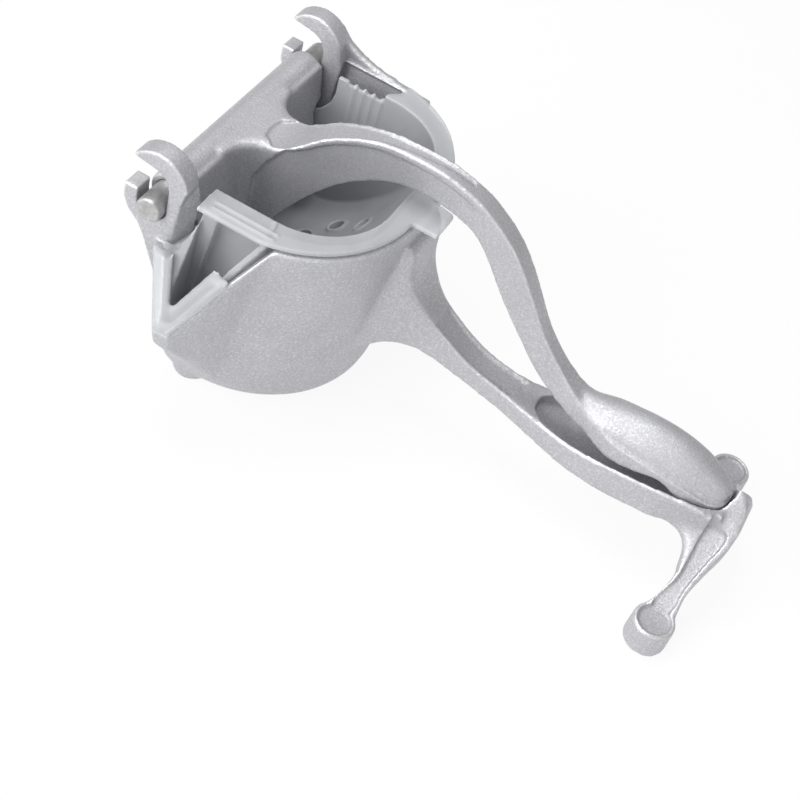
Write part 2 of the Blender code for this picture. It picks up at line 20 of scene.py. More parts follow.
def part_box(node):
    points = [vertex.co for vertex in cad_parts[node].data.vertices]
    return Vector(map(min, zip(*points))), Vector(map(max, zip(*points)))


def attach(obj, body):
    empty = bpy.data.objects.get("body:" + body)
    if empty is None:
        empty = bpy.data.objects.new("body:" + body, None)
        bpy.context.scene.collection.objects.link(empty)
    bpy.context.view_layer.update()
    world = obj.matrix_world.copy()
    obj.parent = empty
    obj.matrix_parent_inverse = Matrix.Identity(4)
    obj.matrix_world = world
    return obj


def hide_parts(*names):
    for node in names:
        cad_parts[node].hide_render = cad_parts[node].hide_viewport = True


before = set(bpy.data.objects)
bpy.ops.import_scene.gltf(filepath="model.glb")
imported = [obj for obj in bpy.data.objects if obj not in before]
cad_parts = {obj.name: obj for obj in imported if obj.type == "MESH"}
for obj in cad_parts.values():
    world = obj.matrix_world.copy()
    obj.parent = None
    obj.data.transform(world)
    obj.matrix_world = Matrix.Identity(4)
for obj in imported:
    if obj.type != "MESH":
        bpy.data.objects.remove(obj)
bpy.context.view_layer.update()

Point2 = tuple[float, float]
Point3 = tuple[float, float, float]
# x and z of a row's middle, its number of holes, their pitch and the floor's lean there in degrees.
HoleRow = tuple[float, float, int, float, float]
LOG = logging.getLogger("juicer")

HINGE_HEIGHT = 0.085
# Bends in 1/m at which the cast's edge and corner marks start and are full: rubbed edges with a painted
# highlight, and painted shade in inner corners.
CAST_EDGE_MARKING = (230.0, 760.0)
WHITE = (1.0, 1.0, 1.0, 1.0)
WEIGHT_STEPS = 20


def mm(table: str) -> list[tuple[float, ...]]:
    """The points of a drawing in metres, from a table of them in millimetres."""
    return [tuple(round(float(number) / 1000, 7) for number in point.split()) for point in table.split(",")]


def hinge_foot() -> Vector:
    """The point of the frame under the middle of the hinge axis, where press coordinates start."""
    low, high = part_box("hinge_pin")
    return Vector(((low.x + high.x) / 2, (low.y + high.y) / 2, 0.0))


def flowing(points: Sequence[Sequence[float]], steps: int) -> list[tuple[float, ...]]:
    """A smooth curve through control points.

    Args:
        points: the control points, in order.
        steps: how many points the curve gets between each two.

    Returns:
        The points of the curve, both ends included.
    """
    count = len(points)
    found = []
    for i in range(count - 1):
        a, b, c, d = (Vector(points[min(max(i + k, 0), count - 1)]) for k in (-1, 0, 1, 2))
        for step in range(steps):
            t = step / steps
            found.append(0.5 * (2 * b + (c - a) * t + (2 * a - 5 * b + 4 * c - d) * t * t
                                + (3 * b - a - 3 * c + d) * t ** 3))
    found.append(Vector(points[-1]))
    return [tuple(point) for point in found]


def arc(cx: float, cy: float, radius: float, start: float, end: float, steps: int) -> list[Point2]:
    """Points on a circle's arc.

    Args:
        cx: first coordinate of the centre.
        cy: second coordinate of the centre.
        radius: of the circle.
        start: first angle, in degrees.
        end: last angle, in degrees.
        steps: how many steps lie between the two angles.

    Returns:
        The points, both ends included.
    """
    angles = [math.radians(start + (end - start) * i / steps) for i in range(steps + 1)]
    return [(cx + radius * math.cos(a), cy + radius * math.sin(a)) for a in angles]


def mirrored(half: Sequence[Point2]) -> list[Point2]:
    """A closed plan from its half on the +y side, as (x, y) points."""
    return list(half) + [(x, -y) for x, y in reversed(half)]


def falloff(distance: np.ndarray, full: float, none: float) -> np.ndarray:
    """One up to the distance full, nothing past the distance none, and a soft slope between them."""
    share = np.clip((none - distance) / (none - full), 0.0, 1.0)
    return share * share * (3 - 2 * share)


def falloff_at(x: float, none: float, full: float) -> float:
    """Nothing below one place, one above another, and a straight slope between them."""
    return min(1.0, max(0.0, (x - none) / (full - none)))


@dataclass(frozen=True)
class Region:
    """An ellipsoid in which two solids are smoothed into each other."""

    centre: Point3
    radii: Point3
    full: float

    def weigh(self, points: np.ndarray) -> np.ndarray:
        """One within the share full of the ellipsoid, and nothing outside it."""
        away = (points - np.array(self.centre)) / np.array(self.radii)
        return falloff(np.sqrt((away ** 2).sum(1)), self.full, 1.0)

    def weigh_both(self, points: np.ndarray) -> np.ndarray:
        """The same for the ellipsoid and its mirror twin across the middle plane."""
        return self.weigh(np.abs(points))


class Plane(Enum):
    """The plane that an outline is drawn in, and the axis that it is extruded along."""

    SIDE = ("x", "z", "y")
    TOP = ("x", "y", "z")
    END = ("y", "z", "x")

    def point(self, u: float, v: float, depth: float) -> Vector:
        """The point at u and v in the plane, at a depth along the third axis."""
        place = dict(zip(self.value, (u, v, depth)))
        return Vector((place["x"], place["y"], place["z"]))


class Bench:
    """Modelling operators, each used on one piece at a time."""

    @staticmethod
    def take(piece: bpy.types.Object) -> None:
        """Makes one piece the only selected and the active one.

        Args:
            piece: the piece that the next operators work on.
        """
        bpy.ops.object.select_all(action="DESELECT")
        piece.hide_set(False)
        piece.select_set(True)
        bpy.context.view_layer.objects.active = piece

    @classmethod
    def edit(cls, piece: bpy.types.Object, mode: str = "VERT") -> bmesh.types.BMesh:
        """Opens a piece in edit mode with all of it selected, and returns its mesh in editing.

        Args:
            piece: the piece to open.
            mode: VERT, EDGE or FACE, for what gets selected.

        Returns:
            The mesh, for choosing parts of it.
        """
        cls.take(piece)
        bpy.ops.object.mode_set(mode="EDIT")
        bpy.ops.mesh.select_mode(type=mode)
        bpy.ops.mesh.select_all(action="SELECT")
        return bmesh.from_edit_mesh(piece.data)

    @staticmethod
    def close() -> None:
        """Turns the normals outwards and leaves edit mode."""
        bpy.ops.mesh.select_all(action="SELECT")
        bpy.ops.mesh.normals_make_consistent(inside=False)
        bpy.ops.object.mode_set(mode="OBJECT")

    @classmethod
    def primitive(cls, kind: str, name: str, **settings: object) -> bpy.types.Object:
        """Adds a mesh primitive, and puts its place, turn and size into its mesh.

        Args:
            kind: circle, cube or cone.
            name: of the new object.
            settings: what its operator is told.

        Returns:
            The new object.
        """
        bpy.ops.object.select_all(action="DESELECT")
        getattr(bpy.ops.mesh, f"primitive_{kind}_add")(**settings)
        piece = bpy.context.object
        piece.name = name
        piece.data.name = name
        bpy.ops.object.transform_apply(location=True, rotation=True, scale=True)
        return piece

    @classmethod
    def ring(cls, name: str, points: Sequence[Vector], fill: str = "NGON") -> bpy.types.Object:
        """A circle primitive whose points are drawn out to an outline.

        Args:
            name: of the new object.
            points: the outline in space, in order.
            fill: NGON for a face, NOTHING for a bare loop.

        Returns:
            The new object.
        """
        piece = cls.primitive("circle", name, vertices=len(points), radius=0.01, fill_type=fill)
        for vert, point in zip(piece.data.vertices, points):
            vert.co = point
        return piece

    @classmethod
    def slab(cls, name: str, outline: Sequence[Point2], plane: Plane, low: float,
             high: float) -> bpy.types.Object:
        """A closed outline extruded across its plane.

        Args:
            name: of the new object.
            outline: points in the plane.
            plane: the plane of the outline.
            low: where the solid starts along the third axis.
            high: where it ends.

        Returns:
            The solid, in triangles.
        """
        piece = cls.ring(name, [plane.point(u, v, low) for u, v in outline])
        cls.edit(piece)
        way = plane.point(0.0, 0.0, high - low)
        bpy.ops.mesh.extrude_region_move(TRANSFORM_OT_translate={"value": way})
        bpy.ops.mesh.select_all(action="SELECT")
        bpy.ops.mesh.quads_convert_to_tris(quad_method="BEAUTY", ngon_method="BEAUTY")
        cls.close()
        return piece

    @classmethod
    def loft(cls, name: str, rings: Sequence[Sequence[Point3]]) -> bpy.types.Object:
        """A closed solid whose first outline is extruded from ring to ring.

        Args:
            name: of the new object.
            rings: outlines of equal point counts.

        Returns:
            The solid, in triangles.
        """
        piece = cls.ring(name, [Vector(point) for point in rings[0]])
        cls.edit(piece)
        for before, after in zip(rings, rings[1:]):
            bpy.ops.mesh.extrude_region_move(TRANSFORM_OT_translate={"value": (0.0, 0.0, 0.0)})
            mesh = bmesh.from_edit_mesh(piece.data)
            old = np.array(before)
            for vert in [vert for vert in mesh.verts if vert.select]:
                nearest = int(np.argmin(((old - np.array(vert.co)) ** 2).sum(1)))
                vert.co = after[nearest]
            bmesh.update_edit_mesh(piece.data)
        bpy.ops.mesh.select_all(action="SELECT")
        bpy.ops.mesh.quads_convert_to_tris(quad_method="BEAUTY", ngon_method="BEAUTY")
        cls.close()
        return piece

    @classmethod
    def hull(cls, name: str, points: Sequence[Point3]) -> bpy.types.Object:
        """The smallest convex solid round some points.

        Args:
            name: of the new object.
            points: the points that it holds.

        Returns:
            The solid.
        """
        piece = cls.ring(name, [Vector(point) for point in points], "NOTHING")
        cls.edit(piece)
        bpy.ops.mesh.convex_hull(join_triangles=False)
        cls.close()
        return piece

    @classmethod
    def block(cls, name: str, low: Point3, high: Point3) -> bpy.types.Object:
        """A cube primitive between two corners."""
        return cls.primitive("cube", name, size=1.0, location=[(a + b) / 2 for a, b in zip(low, high)],
                             scale=[b - a for a, b in zip(low, high)])

    @classmethod
    def rod(cls, name: str, radius: float, start: Sequence[float], end: Sequence[float], verts: int = 48,
            tip: float | None = None) -> bpy.types.Object:
        """A round bar between two points, tapered when the tip's radius is given.

        Args:
            name: of the new object.
            radius: of its start.
            start: middle of its first end.
            end: middle of its other end.
            verts: how many sides it has.
            tip: radius of its other end, if not the same.

        Returns:
            The bar.
        """
        way = Vector(end) - Vector(start)
        return cls.primitive(
            "cone", name, vertices=verts, radius1=radius, radius2=radius if tip is None else tip,
            depth=way.length, location=(Vector(start) + Vector(end)) / 2,
            rotation=way.to_track_quat("Z", "Y").to_euler())

    @classmethod
    def apply(cls, piece: bpy.types.Object, kind: str, **settings: object) -> bpy.types.Object:
        """Adds one modifier with its settings and applies it.

        Args:
            piece: the piece that is changed.
            kind: the modifier's type.
            settings: the modifier's properties.

        Returns:
            The same piece.
        """
        cls.take(piece)
        bpy.ops.object.modifier_add(type=kind)
        modifier = piece.modifiers[-1]
        for name, value in settings.items():
            setattr(modifier, name, value)
        bpy.ops.object.modifier_apply(modifier=modifier.name)
        return piece

    @classmethod
    def combine(cls, piece: bpy.types.Object, tools: Sequence[bpy.types.Object], operation: str,
                solver: str = "EXACT") -> bpy.types.Object:
        """Applies a Boolean with each tool in turn.

        Args:
            piece: the solid that is kept.
            tools: the solids that are used up.
            operation: UNION, DIFFERENCE or INTERSECT.
            solver: EXACT for plain solids, MANIFOLD for dense closed ones.

        Returns:
            The changed piece.
        """
        for tool in tools:
            cls.apply(piece, "BOOLEAN", operation=operation, solver=solver, object=tool)
            bpy.data.objects.remove(tool, do_unlink=True)
        return piece

    @classmethod
    def shared(cls, *solids: bpy.types.Object) -> bpy.types.Object:
        """What the first solid shares with all the others."""
        return cls.combine(solids[0], solids[1:], "INTERSECT")

    @classmethod
    def gather(cls, pieces: Sequence[bpy.types.Object]) -> bpy.types.Object:
        """Joins overlapping solids into the first one's object, to be fused later.

        Args:
            pieces: the solids, of which the first stays.

        Returns:
            The first solid's object, with all of them in it.
        """
        cls.take(pieces[0])
        for piece in pieces[1:]:
            piece.select_set(True)
        bpy.ops.object.join()
        return pieces[0]

    @classmethod
    def fuse(cls, piece: bpy.types.Object, grain: float) -> bpy.types.Object:
        """Makes one closed skin round all that lies in a piece, at a grain size."""
        return cls.apply(piece, "REMESH", mode="VOXEL", voxel_size=grain, adaptivity=0.0)

    @classmethod
    def soften(cls, piece: bpy.types.Object, passes: int,
               weigh: Callable[[np.ndarray], np.ndarray] | None = None) -> bpy.types.Object:
        """Smooths a piece, all over or where a weight says.

        Args:
            piece: the piece to smooth.
            passes: how many times its points move half-way towards their neighbours.
            weigh: gives a weight from 0 to 1 to each row of an array of points.

        Returns:
            The same piece.
        """
        if weigh is None:
            return cls.apply(piece, "SMOOTH", factor=0.5, iterations=passes)
        group = piece.vertex_groups.new(name="soft")
        levels = np.round(weigh(Bench.points(piece)) * WEIGHT_STEPS).astype(int)
        for level in range(1, WEIGHT_STEPS + 1):
            chosen = np.nonzero(levels == level)[0]
            if len(chosen):
                group.add(chosen.tolist(), level / WEIGHT_STEPS, "REPLACE")
        cls.apply(piece, "SMOOTH", factor=0.5, iterations=passes, vertex_group="soft")
        piece.vertex_groups.clear()
        return piece

    @classmethod
    def thin_out(cls, piece: bpy.types.Object, triangles: int) -> bpy.types.Object:
        """Lowers a piece's triangle count to about the one given.

        Args:
            piece: the piece that is changed.
            triangles: the most that it may keep.

        Returns:
            The same piece.
        """
        piece.data.calc_loop_triangles()
        count = len(piece.data.loop_triangles)
        if count <= triangles:
            return piece
        return cls.apply(piece, "DECIMATE", ratio=triangles / count, use_collapse_triangulate=True)

    @staticmethod
    def points(piece: bpy.types.Object) -> np.ndarray:
        """The points of a piece as rows of an array.

        Args:
            piece: the piece to read.

        Returns:
            One row of x, y and z for each point.
        """
        found = np.zeros(len(piece.data.vertices) * 3)
        piece.data.vertices.foreach_get("co", found)
        return found.reshape(-1, 3)

    @classmethod
    def carry(cls, piece: bpy.types.Object, way: Vector) -> None:
        """Moves a piece's mesh, so that its object stays at the origin.

        Args:
            piece: the piece to move.
            way: how far it goes along each axis.
        """
        cls.edit(piece)
        bpy.ops.transform.translate(value=way)
        cls.close()


class EdgeReader:
    """Writes how sharp and how hollow a surface is at each point, for the finishes to read."""

    def __init__(self, piece: bpy.types.Object) -> None:
        """Reads the points, normals and edges of a piece.

        Args:
            piece: the piece to read and to write on.
        """
        mesh = piece.data
        self.mesh = mesh
        self.count = len(mesh.vertices)
        self.points = Bench.points(piece)
        normals = np.zeros(self.count * 3)
        mesh.vertices.foreach_get("normal", normals)
        self.normals = normals.reshape(-1, 3)
        edges = np.zeros(len(mesh.edges) * 2, dtype=np.int64)
        mesh.edges.foreach_get("vertices", edges)
        self.edges = edges.reshape(-1, 2)

    def spread(self, values: np.ndarray, passes: int) -> np.ndarray:
        """Averages values with their neighbours' a number of times.

        Args:
            values: one number for each point.
            passes: how many times they are averaged.

        Returns:
            The averaged numbers.
        """
        a, b = self.edges[:, 0], self.edges[:, 1]
        links = np.bincount(np.concatenate((a, b)), minlength=self.count) + 1.0
        for _ in range(passes):
            total = values + np.bincount(a, values[b], self.count) + np.bincount(b, values[a], self.count)
            values = total / links
        return values

    def bend(self, passes: int) -> np.ndarray:
        """Mean bend at each point, in 1/m: above 0 on outer edges, below 0 in corners.

        Args:
            passes: how many times the result is averaged.

        Returns:
            One number for each point.
        """
        normals = np.stack([self.spread(self.normals[:, k], 1) for k in range(3)], axis=1)
        total = np.zeros(self.count)
        for i, j in (self.edges.T, self.edges.T[::-1]):
            way = self.points[j] - self.points[i]
            length = np.maximum((way * way).sum(1), 1e-12)
            total += np.bincount(i, -2 * (normals[i] * way).sum(1) / length, self.count)
        links = np.bincount(self.edges.ravel(), minlength=self.count)
        return self.spread(total / np.maximum(links, 1), passes)

    def write(self, name: str, values: np.ndarray) -> None:
        """Stores one number for each point under a name."""
        layer = self.mesh.attributes.new(name, "FLOAT", "POINT")
        layer.data.foreach_set("value", values.astype(np.float32))

    def mark(self, start: float, full: float) -> None:
        """Writes two attributes for the finishes: one for outer edges, which the cast finish shows rubbed
        bright with a painted highlight, and hollow, for inner corners, which it darkens with painted shade.

        Args:
            start: the bend at which an edge or corner starts to be marked, in 1/m.
            full: the bend at which it is fully marked.
        """
        bend = self.bend(3)
        # Outer edges: rubbed bright with a painted highlight on the cast, paler and cloudier on the liner.
        self.write("convex_edge", np.clip((bend - start) / (full - start), 0.0, 1.0))
        # Inner corners: darkened on the cast as painted shade.
        self.write("hollow", np.clip((-bend - start * 0.7) / (full - start), 0.0, 1.0))


class Wire:
    """A number that nodes work out. Arithmetic on it adds Math nodes."""

    def __init__(self, recipe: "Recipe", socket: bpy.types.NodeSocket) -> None:
        """Wraps an output socket of a recipe's node."""
        self.recipe = recipe
        self.socket = socket

    def maths(self, operation: str, *values: object) -> "Wire":
        """The result of one Math node."""
        node = self.recipe.add("ShaderNodeMath", {"operation": operation}, dict(enumerate(values)))
        return Wire(self.recipe, node.outputs[0])

    def __add__(self, other: object) -> "Wire":
        """Sum."""
        return self.maths("ADD", self, other)

    __radd__ = __add__

    def __mul__(self, other: object) -> "Wire":
        """Product."""
        return self.maths("MULTIPLY", self, other)

    __rmul__ = __mul__

    def __sub__(self, other: object) -> "Wire":
        """Difference."""
        return self.maths("SUBTRACT", self, other)

    def __rsub__(self, other: object) -> "Wire":
        """Difference, from a plain number."""
        return self.maths("SUBTRACT", other, self)

    def clamped(self) -> "Wire":
        """The number kept between 0 and 1."""
        return self.maths("MINIMUM", self.maths("MAXIMUM", self, 0.0), 1.0)


class NodeBoard:
    """A node tree in the making."""

    def __init__(self, tree: bpy.types.NodeTree) -> None:
        """Starts from the nodes that the tree already has."""
        self.tree = tree

    def feed(self, socket: bpy.types.NodeSocket, value: object) -> None:
        """Links a wire or socket into a socket, or writes a constant on it.

        Args:
            socket: the input socket.
            value: a wire, an output socket or a constant.
        """
        if isinstance(value, Wire):
            value = value.socket
        if isinstance(value, bpy.types.NodeSocket):
            self.tree.links.new(value, socket)
        else:
            socket.default_value = value

    def add(self, kind: str, settings: dict | None = None, values: dict | None = None) -> bpy.types.Node:
        """Adds a node of any type.

        Args:
            kind: the node's type.
            settings: properties that are set first.
            values: constants or links by socket name or number.

        Returns:
            The node.
        """
        node = self.tree.nodes.new(kind)
        for name, value in (settings or {}).items():
            setattr(node, name, value)
        for key, value in (values or {}).items():
            self.feed(node.inputs[key], value)
        return node


class Recipe(NodeBoard):
    """A node material in the making."""

    def __init__(self, name: str) -> None:
        """Starts from a bare Principled shader.

        Args:
            name: of the material.
        """
        self.material = bpy.data.materials.new(name)
        self.material.use_nodes = True
        super().__init__(self.material.node_tree)
        self.shader = self.tree.nodes["Principled BSDF"]

    def attribute(self, name: str) -> Wire:
        """A number stored on the piece's points."""
        return Wire(self, self.add("ShaderNodeAttribute", {"attribute_name": name}).outputs["Fac"])

    def noise(self, scale: float, detail: float = 2.0, rough: float = 0.5) -> Wire:
        """Soft cloudy noise over the object, with the given number of cells per metre.

        Args:
            scale: cells per metre.
            detail: how many finer layers are added.
            rough: how strong the finer layers are.

        Returns:
            The noise, from 0 to 1.
        """
        place = self.add("ShaderNodeTexCoord").outputs["Object"]
        node = self.add("ShaderNodeTexNoise", {}, {"Vector": place, "Scale": scale, "Detail": detail,
                                                   "Roughness": rough})
        return Wire(self, node.outputs["Fac"])

    def blend(self, share: Wire, first: object, second: object) -> bpy.types.NodeSocket:
        """A colour between two, by a share from 0 to 1."""
        node = self.add("ShaderNodeMix", {"data_type": "RGBA"}, {0: share, 6: first, 7: second})
        return node.outputs[2]

    def bump(self, height: Wire, depth: float, under: object = None) -> bpy.types.NodeSocket:
        """A Bump node's normal, for a relief of a depth in metres.

        Args:
            height: the relief, from 0 to 1.
            depth: of the relief, in metres.
            under: a normal that it lies on.

        Returns:
            The node's normal.
        """
        values = {"Height": height, "Distance": depth, "Strength": 1.0}
        if under is not None:
            values["Normal"] = under
        return self.add("ShaderNodeBump", {}, values).outputs["Normal"]

    def finish(self, **sockets: object) -> bpy.types.Material:
        """Feeds the shader's sockets, with words joined by underscores, and returns the material.

        Args:
            sockets: a value for each of the shader's sockets.

        Returns:
            The material.
        """
        for name, value in sockets.items():
            self.feed(self.shader.inputs[name.replace("_", " ").title()], value)
        return self.material


@dataclass(frozen=True)
class CastFinish:
    """Fine sand-cast aluminium under a thin silver coat, rubbed bright along its edges, with a painted
    highlight on those edges and painted shade in inner corners.
    """

    name: str = "sand cast aluminium"
    body: Point3 = (0.60, 0.60, 0.625)
    dull: Point3 = (0.49, 0.49, 0.515)
    spark: Point3 = (0.80, 0.80, 0.81)
    # The next tone lightens outer edges: real rubbed-bright metal with a painted highlight on top.
    bright: Point3 = (0.84, 0.84, 0.84)
    # The next tone darkens inner corners as painted shade, and also marks the dark pits of the sand grain.
    shade_and_grain_dark: Point3 = (0.26, 0.26, 0.275)
    grain: float = 1350.0
    relief: float = 0.00017

    def make(self) -> bpy.types.Material:
        """Builds the material.

        Returns:
            The cast aluminium.
        """
        recipe = Recipe(self.name)
        convex_edge = recipe.attribute("convex_edge")
        hollow = recipe.attribute("hollow")
        sand = recipe.noise(self.grain, 3.0, 0.6)
        cloud = recipe.noise(55.0, 3.0)
        fleck = (recipe.noise(self.grain * 0.8, 1.0) * 5.0 - 2.6).clamped()
        # Rubbed edges: real polish in roughness and relief, and in colour also a painted highlight.
        rubbed_and_highlit_edge = (convex_edge * (0.75 + 0.5 * recipe.noise(420.0, 2.0))).clamped()
        colour = recipe.blend(cloud, (*self.dull, 1.0), (*self.body, 1.0))
        colour = recipe.blend(fleck * 0.40, colour, (*self.spark, 1.0))
        # Painted shade: inner corners darkened.
        colour = recipe.blend((hollow * 0.55).clamped(), colour, (*self.shade_and_grain_dark, 1.0))
        # Painted highlight: outer edges lightened, on top of their real rubbed tone.
        colour = recipe.blend(rubbed_and_highlit_edge, colour, (*self.bright, 1.0))
        # The same dark tone marks the sand grain's pits, the metal's own texture.
        colour = recipe.blend((sand * 3.0 - 1.2).clamped() * 0.34, colour, (*self.shade_and_grain_dark, 1.0))
        roughness = (0.56 + (sand - 0.5) * 0.30 - fleck * 0.10 - rubbed_and_highlit_edge * 0.22).clamped()
        normal = recipe.bump(sand * (1.0 - rubbed_and_highlit_edge * 0.75), self.relief)
        normal = recipe.bump(cloud, 0.00035, normal)
        return recipe.finish(base_color=colour, roughness=roughness, metallic=0.72, normal=normal)


@dataclass(frozen=True)
class PinFinish:
    """Rough turned steel, pitted and a little oily."""

    name: str = "rough pin steel"
    pale: Point3 = (0.64, 0.64, 0.64)
    dark: Point3 = (0.42, 0.42, 0.42)

    def make(self) -> bpy.types.Material:
        """Builds the material.

        Returns:
            The pin steel.
        """
        recipe = Recipe(self.name)
        blotch = recipe.noise(420.0, 4.0, 0.65)
        pits = recipe.noise(1500.0, 3.0, 0.6)
        stained = (blotch * 2.6 - 0.9).clamped()
        colour = recipe.blend(stained, (*self.dark, 1.0), (*self.pale, 1.0))
        roughness = (0.34 + pits * 0.3).clamped()
        normal = recipe.bump(pits * 0.6 + blotch * 0.4, 0.0002)
        return recipe.finish(base_color=colour, roughness=roughness, metallic=0.9, normal=normal)


@dataclass(frozen=True)
class MilkyFinish:
    """Milky translucent plastic, cloudier where it is thick and paler along its edges."""

    name: str = "milky plastic"
    body: Point3 = (0.56, 0.57, 0.595)
    edge: Point3 = (0.72, 0.73, 0.74)

    def make(self) -> bpy.types.Material:
        """Builds the material.

        Returns:
            The milky plastic.
        """
        recipe = Recipe(self.name)
        convex_edge = recipe.attribute("convex_edge")
        cloud = recipe.noise(70.0, 2.0)
        fine = recipe.noise(900.0, 2.0)
        colour = recipe.blend((convex_edge * 0.8 + cloud * 0.25).clamped(), (*self.body, 1.0), (*self.edge, 1.0))
        alpha = (0.54 + convex_edge * 0.26 + (cloud - 0.5) * 0.12).clamped()
        roughness = (0.30 + fine * 0.16).clamped()
        normal = recipe.bump(fine * 0.25 + cloud, 0.00012)
        return recipe.finish(base_color=colour, roughness=roughness, alpha=alpha, normal=normal)


class Part:
    """A piece of the press: it builds its shape, is dressed in a finish and settles in the frame."""

    body: ClassVar[str]
    slot: ClassVar[str]
    nodes: ClassVar[tuple[str, ...]]
    edge_marking: ClassVar[tuple[float, float] | None] = None

    def build(self) -> bpy.types.Object:
        """Builds the piece, in press coordinates."""
        raise NotImplementedError

    def dress(self, piece: bpy.types.Object, finish: bpy.types.Material, home: Vector) -> None:
        """Gives a built piece its marks of outer edges and inner corners, which the cast finish shows as
        rubbed edges with a painted highlight and as painted shade, and its finish, and puts it into the
        frame.

        Args:
            piece: the built piece, in press coordinates.
            finish: its material.
            home: the frame's point that press coordinates start from.
        """
        # The edge marks feed the cast finish's painted highlight on outer edges and painted shade in inner
        # corners.
        if self.edge_marking:
            EdgeReader(piece).mark(*self.edge_marking)
        Bench.carry(piece, home)
        piece.data.materials.clear()
        piece.data.materials.append(finish)
        Bench.take(piece)
        bpy.ops.object.shade_smooth()
        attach(piece, self.body)
        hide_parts(*self.nodes)
        LOG.info("%s: %d triangles", piece.name, sum(len(face.vertices) - 2 for face in piece.data.polygons))


@dataclass
class LowerCasting(Part):
    """The cup with its spout, hinge ears, lower handle and foot bar, cast in one."""

    body = "base"
    slot = "cast_aluminium"
    nodes = ("cup", "front_hinge_ear", "rear_hinge_ear", "lower_handle", "foot_bar")
    edge_marking = CAST_EDGE_MARKING

    cup_top: float = 0.091
    cup_bottom: float = 0.0015
    half_width: float = 0.056
    front_top: float = 0.0755
    corner_top: float = 0.045
    corner_bottom: float = 0.046
    axis_bottom: float = 0.0206
    foot_radius: float = 0.010
    wall: float = 0.003
    back_top: float = -0.005
    back_bottom: float = 0.006
    back_wall_top: float = 0.074
    spout_tip: float = -0.076
    ear_inner: float = 0.047
    ear_outer: float = 0.055
    ear_taper: float = 0.0019
    slot_radius: float = 0.0058
    horn_radius: float = 0.012
    horn_height: float = 0.0947
    pad_x: float = 0.2103
    pad_y: float = 0.0421
    pad_radius: float = 0.0079
    pad_height: float = 0.0122
    pad_ring: float = 0.0016
    relief: float = 0.0013
    neck: Region = Region((0.077, 0.0, 0.052), (0.020, 0.032, 0.034), 0.55)
    leg_root: Region = Region((0.202, 0.0175, 0.026), (0.013, 0.011, 0.013), 0.5)
    coarse_grain: float = 0.0009
    grain: float = 0.00052
    triangles: int = 190000

    def ring(self, z: float, inset: float, inwards: float) -> list[Point3]:
        """The cup's plan at a height.

        Args:
            z: the height.
            inset: how far the sides and front lie inside the outer face.
            inwards: how far the back lies inside it.

        Returns:
            The ring's points.
        """
        share = (z - self.cup_bottom) / (self.cup_top - self.cup_bottom)
        radius = self.corner_bottom + (self.corner_top - self.corner_bottom) * share
        centre_x = self.axis_bottom + (self.front_top - self.corner_top - self.axis_bottom) * share
        centre_y = (self.half_width - self.corner_top) * share
        radius -= inset
        lean = (z - self.cup_bottom) / (self.back_wall_top - self.cup_bottom)
        back = self.back_bottom + (self.back_top - self.back_bottom) * lean + inwards
        corner_y = centre_y + radius
        half = [(back, corner_y * 0.93), (back + 0.004, corner_y)]
        half += arc(centre_x, centre_y, radius, 90, 0, 28)
        return [(x, y, z) for x, y in mirrored(half)]

    def cup(self, name: str, inset: float, bottom: float, top: float) -> bpy.types.Object:
        """The cup's outer form, or its hollow when inset by the wall.

        Args:
            name: of the new object.
            inset: how far its walls lie inside the outer face.
            bottom: height of its floor.
            top: height of its rim.

        Returns:
            The solid.
        """
        rounding = self.foot_radius - inset * 0.5
        rings = []
        for step in range(9):
            angle = math.radians(90 * step / 8)
            z = bottom + rounding * (1 - math.cos(angle))
            pull = rounding * (1 - math.sin(angle))
            rings.append(self.ring(z, inset + pull, inset + pull * 0.6))
        rings.append(self.ring(top, inset, inset))
        return Bench.loft(name, rings)

    def prow_edge(self, wall: float) -> list[Point3]:
        """The four corners of the prow's sloping mouth, or of its channel's when a wall is given.

        Args:
            wall: how far they lie inside the outer face.

        Returns:
            Two corners at the cup and two at the tip.
        """
        tip = self.spout_tip + wall * 1.1
        lift = wall * 1.3
        return [(0.0445 - wall, -0.0535 + wall, self.cup_top + lift * 0.2),
                (wall, -0.0535 + wall, 0.080 + lift * 0.2),
                (0.0235 - wall * 0.5, tip, 0.0535 + lift), (0.0175 + wall * 0.5, tip, 0.0535 + lift)]

    def prow(self, name: str, wall: float, rise: float = 0.0) -> bpy.types.Object:
        """The wedge under the pouring lip, or its channel when a wall is given.

        Args:
            name: of the new object.
            wall: how far its sides lie inside the outer face.
            rise: how far its sides go on above its mouth.

        Returns:
            The wedge.
        """
        keel = self.spout_tip + wall * 1.1 + 0.0012
        low = 0.0475 + wall * 1.3
        mouth = self.prow_edge(wall)
        return Bench.hull(name, mouth + [(x, y, z + rise) for x, y, z in mouth] + [
            (0.0232 - wall * 0.5, keel, low), (0.0178 + wall * 0.5, keel, low),
            (0.031 - wall, -0.043 + wall, 0.006 + wall), (0.010 + wall, -0.043 + wall, 0.006 + wall),
            (0.040 - wall, -0.030, 0.020), (0.003 + wall, -0.030, 0.020),
            (0.040 - wall, -0.030, self.cup_top), (0.003 + wall, -0.030, 0.080)])

    def opening(self, wall: float) -> bpy.types.Object:
        """The open room over the pouring channel, between its two sloping lips.

        Args:
            wall: how far it stays inside the outer face.

        Returns:
            The solid that is cut away.
        """
        tip = self.spout_tip + wall * 1.1
        lift = wall * 1.3
        low = [(0.0445 - wall, -0.0535 + wall, self.cup_top - 0.001), (wall, -0.0535 + wall, 0.079),
               (0.0235 - wall * 0.5, tip, 0.0525 + lift), (0.0175 + wall * 0.5, tip, 0.0525 + lift),
               (0.0445 - wall, -0.0440, self.cup_top - 0.001), (wall, -0.0440, 0.079)]
        return Bench.hull("opening", low + [(x, y, z + 0.06) for x, y, z in low])

